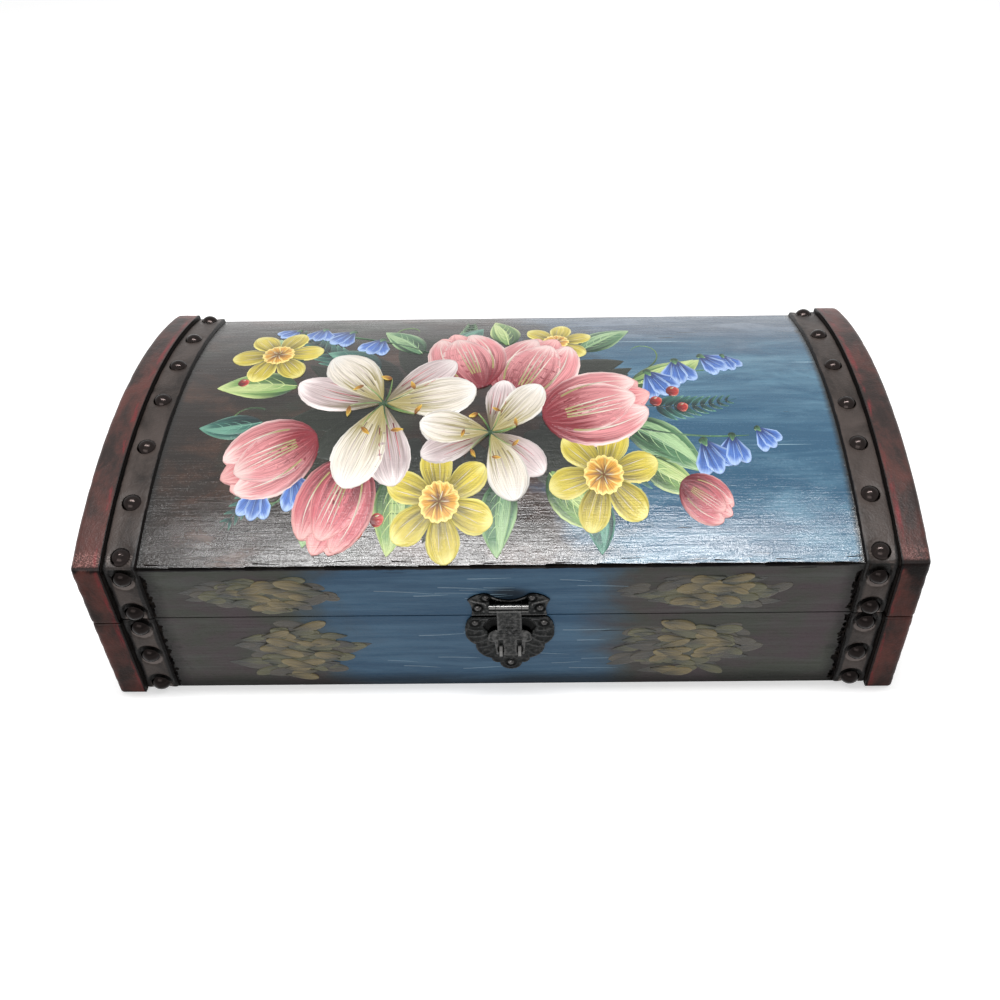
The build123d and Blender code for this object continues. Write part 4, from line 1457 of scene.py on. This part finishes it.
def pressPlate(node, body, faceY, heightOf, middle=latchMiddle, outward=-1, keepRims=None, nails=()):
    # Rings the front along its outline, cuts it into small cells and moves the cells out or in
    piece = mergedCopy(node, f"{node}_pressed")
    kind = "hinge" if "hinge" in node else "latch"
    sides = {}
    for face in piece.data.polygons:
        front = face.normal.y * outward > 0.9 and abs(face.center.y - faceY) < pressed["flat"]
        face.select = front
        for key in face.edge_keys:
            sides.setdefault(key, []).append(front)
    places = piece.data.vertices
    outline = [[((places[i].co.x - middle) / mm, (places[i].co.z - seamLow) / mm) for i in key]
               for key, fronts in sides.items() if True in fronts and False in fronts]
    if keepRims:
        outline = [pair for pair in outline if keepRims(*pair[0])]
    bpy.ops.object.mode_set(mode="EDIT")
    bpy.ops.mesh.select_mode(type="FACE")
    for ring in pressed["rings"]:
        bpy.ops.mesh.inset(thickness=ring, use_even_offset=True, use_boundary=True)
    bpy.ops.mesh.select_mode(type="VERT")
    closeMesh()
    dice(piece, node, pressed["step"][kind], (0, 2))

    places = np.array([v.co for v in piece.data.vertices])
    points = np.stack([(places[:, 0] - middle) / mm, (places[:, 2] - seamLow) / mm], 1)
    onFace = np.abs(places[:, 1] - faceY) < pressed["flat"]
    edge = np.full(len(points), farAway)
    for pair in outline:
        edge = np.minimum(edge, farFrom(points, pair))
    height = np.zeros(len(points))
    height[onFace] = heightOf(points[onFace], edge[onFace])
    flatTo, slope = pressed["nailHead"]
    for at in nails:
        # flat round each nail, so that its head stands clear
        height *= np.clip((np.linalg.norm(points - at, axis=1) - flatTo) / slope, 0, 1)
    places[:, 1] += outward * height * mm
    piece.data.vertices.foreach_set("co", places.astype(np.float32).ravel())
    # how far the black is rubbed off: most on what stands proud, none round the nails
    wear = np.where(onFace, np.minimum(height * 0.62 + 0.16 * bell(edge, 0, 0.35), 0.26), 0.10)
    wear += np.where(onFace, pressed["rubbed"].get(node, 0), 0)
    if "upper" in node:
        dip = (np.abs(points[:, 0]) < 6.6) & (points[:, 1] > 8)
        wear = np.where(onFace & dip, 0.48 * bell(edge, 0.25, 0.35), wear)
    proud = np.maximum(0, (places[:, 1] - faceY) * outward) > 0.3 * mm
    wear = np.where(proud, 0.60 if "lower" in node else 0.42, wear)
    for at in nails:
        far = np.linalg.norm(points - at, axis=1)
        wear = np.where(onFace, wear - 0.6 * bell(far, 1.75, 0.4), wear)
    piece.data.attributes.new("relief", "FLOAT", "POINT").data.foreach_set("value", wear.astype(np.float32))
    return finishPiece(piece, latchMetal, body, f"{kind}_metal", node, smooth=32)


def lowerHeights(points, edge):
    points = mirrored(points)
    height = 0.20 * bell(edge, 0.62, 0.34) - 0.16 * bell(edge, 0, 0.16)
    for at, angle, length, bend, half, high in (
            ((9.9, -6.9), -22, 6.2, 62, 0.62, 0.40), ((8.9, -9.2), -36, 6.6, 48, 0.66, 0.42),
            ((8.4, -11.2), -58, 5.6, 52, 0.60, 0.38), ((6.7, -14.6), -44, 5.4, 40, 0.60, 0.34),
            ((6.2, -17.0), -74, 5.6, 46, 0.62, 0.34), ((3.4, -22.4), -50, 3.0, -70, 0.5, 0.26),
            ((10.4, -1.2), -72, 3.6, 80, 0.42, 0.26), ((9.0, -1.0), -30, 2.0, 50, 0.4, 0.2)):
        height = np.maximum(height, rib(points, scroll(at, angle, length, bend), half, high * 0.55))
        height -= rib(points, scroll((at[0] - 0.3, at[1] - 1.05), angle, length * 0.9, bend), 0.42, 0.20)
    ring = np.hypot(points[:, 0], points[:, 1] + 26.4)
    height += 0.18 * bell(ring, 1.9, 0.4) - 0.1 * bell(ring, 2.8, 0.4)
    recess = [(4.2, -0.9), (6.6, -0.9), (9.2, -3.6), (10.0, -5.4), (9.4, -7.2), (7.9, -9.0), (6.4, -9.9),
              (4.2, -9.0)]
    height += hollow(points, recess, 0.46, 0.7)
    under = (points[:, 0] < 8.3) & (points[:, 1] > -21.8)
    return np.where(under, np.minimum(height, 0.16), height)


def upperHeights(points, edge):
    points = mirrored(points)
    height = 0.24 * bell(edge, 0.62, 0.34) - 0.16 * bell(edge, 0, 0.16)
    for at, angle, length, bend, half, high in (
            ((9.2, 3.0), 84, 4.2, -80, 0.5, 0.32), ((9.4, 7.6), 6, 4.4, 26, 0.55, 0.36),
            ((13.2, 3.2), 100, 3.6, 40, 0.45, 0.28), ((8.4, 5.4), 100, 2.6, -50, 0.45, 0.26)):
        height = np.maximum(height, rib(points, scroll(at, angle, length, bend), half, high))
    height -= rib(points, [(9.9, 6.4), (13.0, 7.2)], 0.5, 0.16)
    ring = np.hypot(points[:, 0] - 11.3, points[:, 1] - 4.5)
    return height - 0.18 * bell(ring, 1.45, 0.3)


def haspHeights(points, edge):
    height = 0.10 * bell(edge, 0.6, 0.4) - 0.24 * bell(edge, 0, 0.2)
    side = mirrored(points)
    for line, half, depth in (
            ([(1.5, -6.9), (2.7, -6.5), (4.0, -6.9)], 0.28, 0.26), ([(1.1, -8.1), (2.9, -8.0)], 0.26, 0.22),
            ([(6.9, -9.0), (7.2, -10.6), (6.6, -12.2)], 0.26, 0.2), ([(0, -4.9), (1.0, -5.1)], 0.42, 0.34)):
        height -= rib(side, line, half, depth)
    height += rib(side, [(5.4, -8.3), (6.0, -10.2), (5.4, -12.0)], 0.9, 0.16)
    height += rib(side, [(0, -7.7), (0.1, -7.7)], 0.5, 0.16)
    return height


def rollLip(piece):
    # The sheet's rolled end shows as a dark step along the barrel's front
    relief = piece.data.attributes["relief"].data
    for vertex in piece.data.vertices:
        away = Vector((0, vertex.co.y - latchAxis.y, vertex.co.z - latchAxis.z))
        if abs(away.length - barrel["radius"]) < 0.1 * mm:
            turn = math.degrees(math.atan2(away.z, -away.y))
            groove = math.exp(-((turn - barrel["stepAt"]) / barrel["stepWidth"]) ** 2)
            vertex.co -= away.normalized() * (barrel["stepDepth"] * groove * mm)
            relief[vertex.index].value = 0.5 - 0.95 * groove


pressPlate("latch_lower_plate", "base", plateFace, lowerHeights,
           keepRims=lambda u, v: not (abs(u) < 5.2 and -20.6 < v < -15.2),
           nails=((-12.7, -3.6), (12.7, -3.6), (0, -26.4)))
upperPlate = pressPlate("latch_upper_plate", "lid", plateFace, upperHeights,
                        keepRims=lambda u, v: not (abs(u) < 7.4 and 3.4 < v < 9.0 and abs(u) > 4.3),
                        nails=((-11.3, 4.5), (11.3, 4.5), (-8.3, 10), (8.3, 10)))
hasp = pressPlate("latch_hasp", "hasp", haspFace, haspHeights)
rollLip(hasp)
rollLip(upperPlate)
print("latch pressed")


def leafHeights(points, edge):
    return 0.12 * bell(edge, 0.6, 0.4) - 0.16 * bell(edge, 0, 0.16)


for side in ("left", "right"):
    for part, nailsAt in (("lid", 8.75), ("base", -8.25)):
        node = f"{side}_hinge_{part}_leaf"
        low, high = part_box(node)
        pressPlate(node, part, leafFace, leafHeights, (low.x + high.x) / 2, outward=1,
                   nails=((-8.5, nailsAt), (8.5, nailsAt)))
print("hinges pressed")


# Felt linings, glued to the boards
felt = {"cell": 4.0 * mm, "sag": 0.07 * mm}


def makeLining(node, body):
    piece = mergedCopy(node, f"{node}_felt")
    dice(piece, node, felt["cell"])
    shape(piece, lambda co, normal: co - normal * (felt["sag"] * (1 + crumple(co, 14 * mm, 2)) / 2))
    finishPiece(piece, feltCloth, body, "felt", node, smooth=40)


makeLining("base_floor_lining", "base")
makeLining("base_wall_lining", "base")
makeLining("lid_lining", "lid")
print("linings laid")
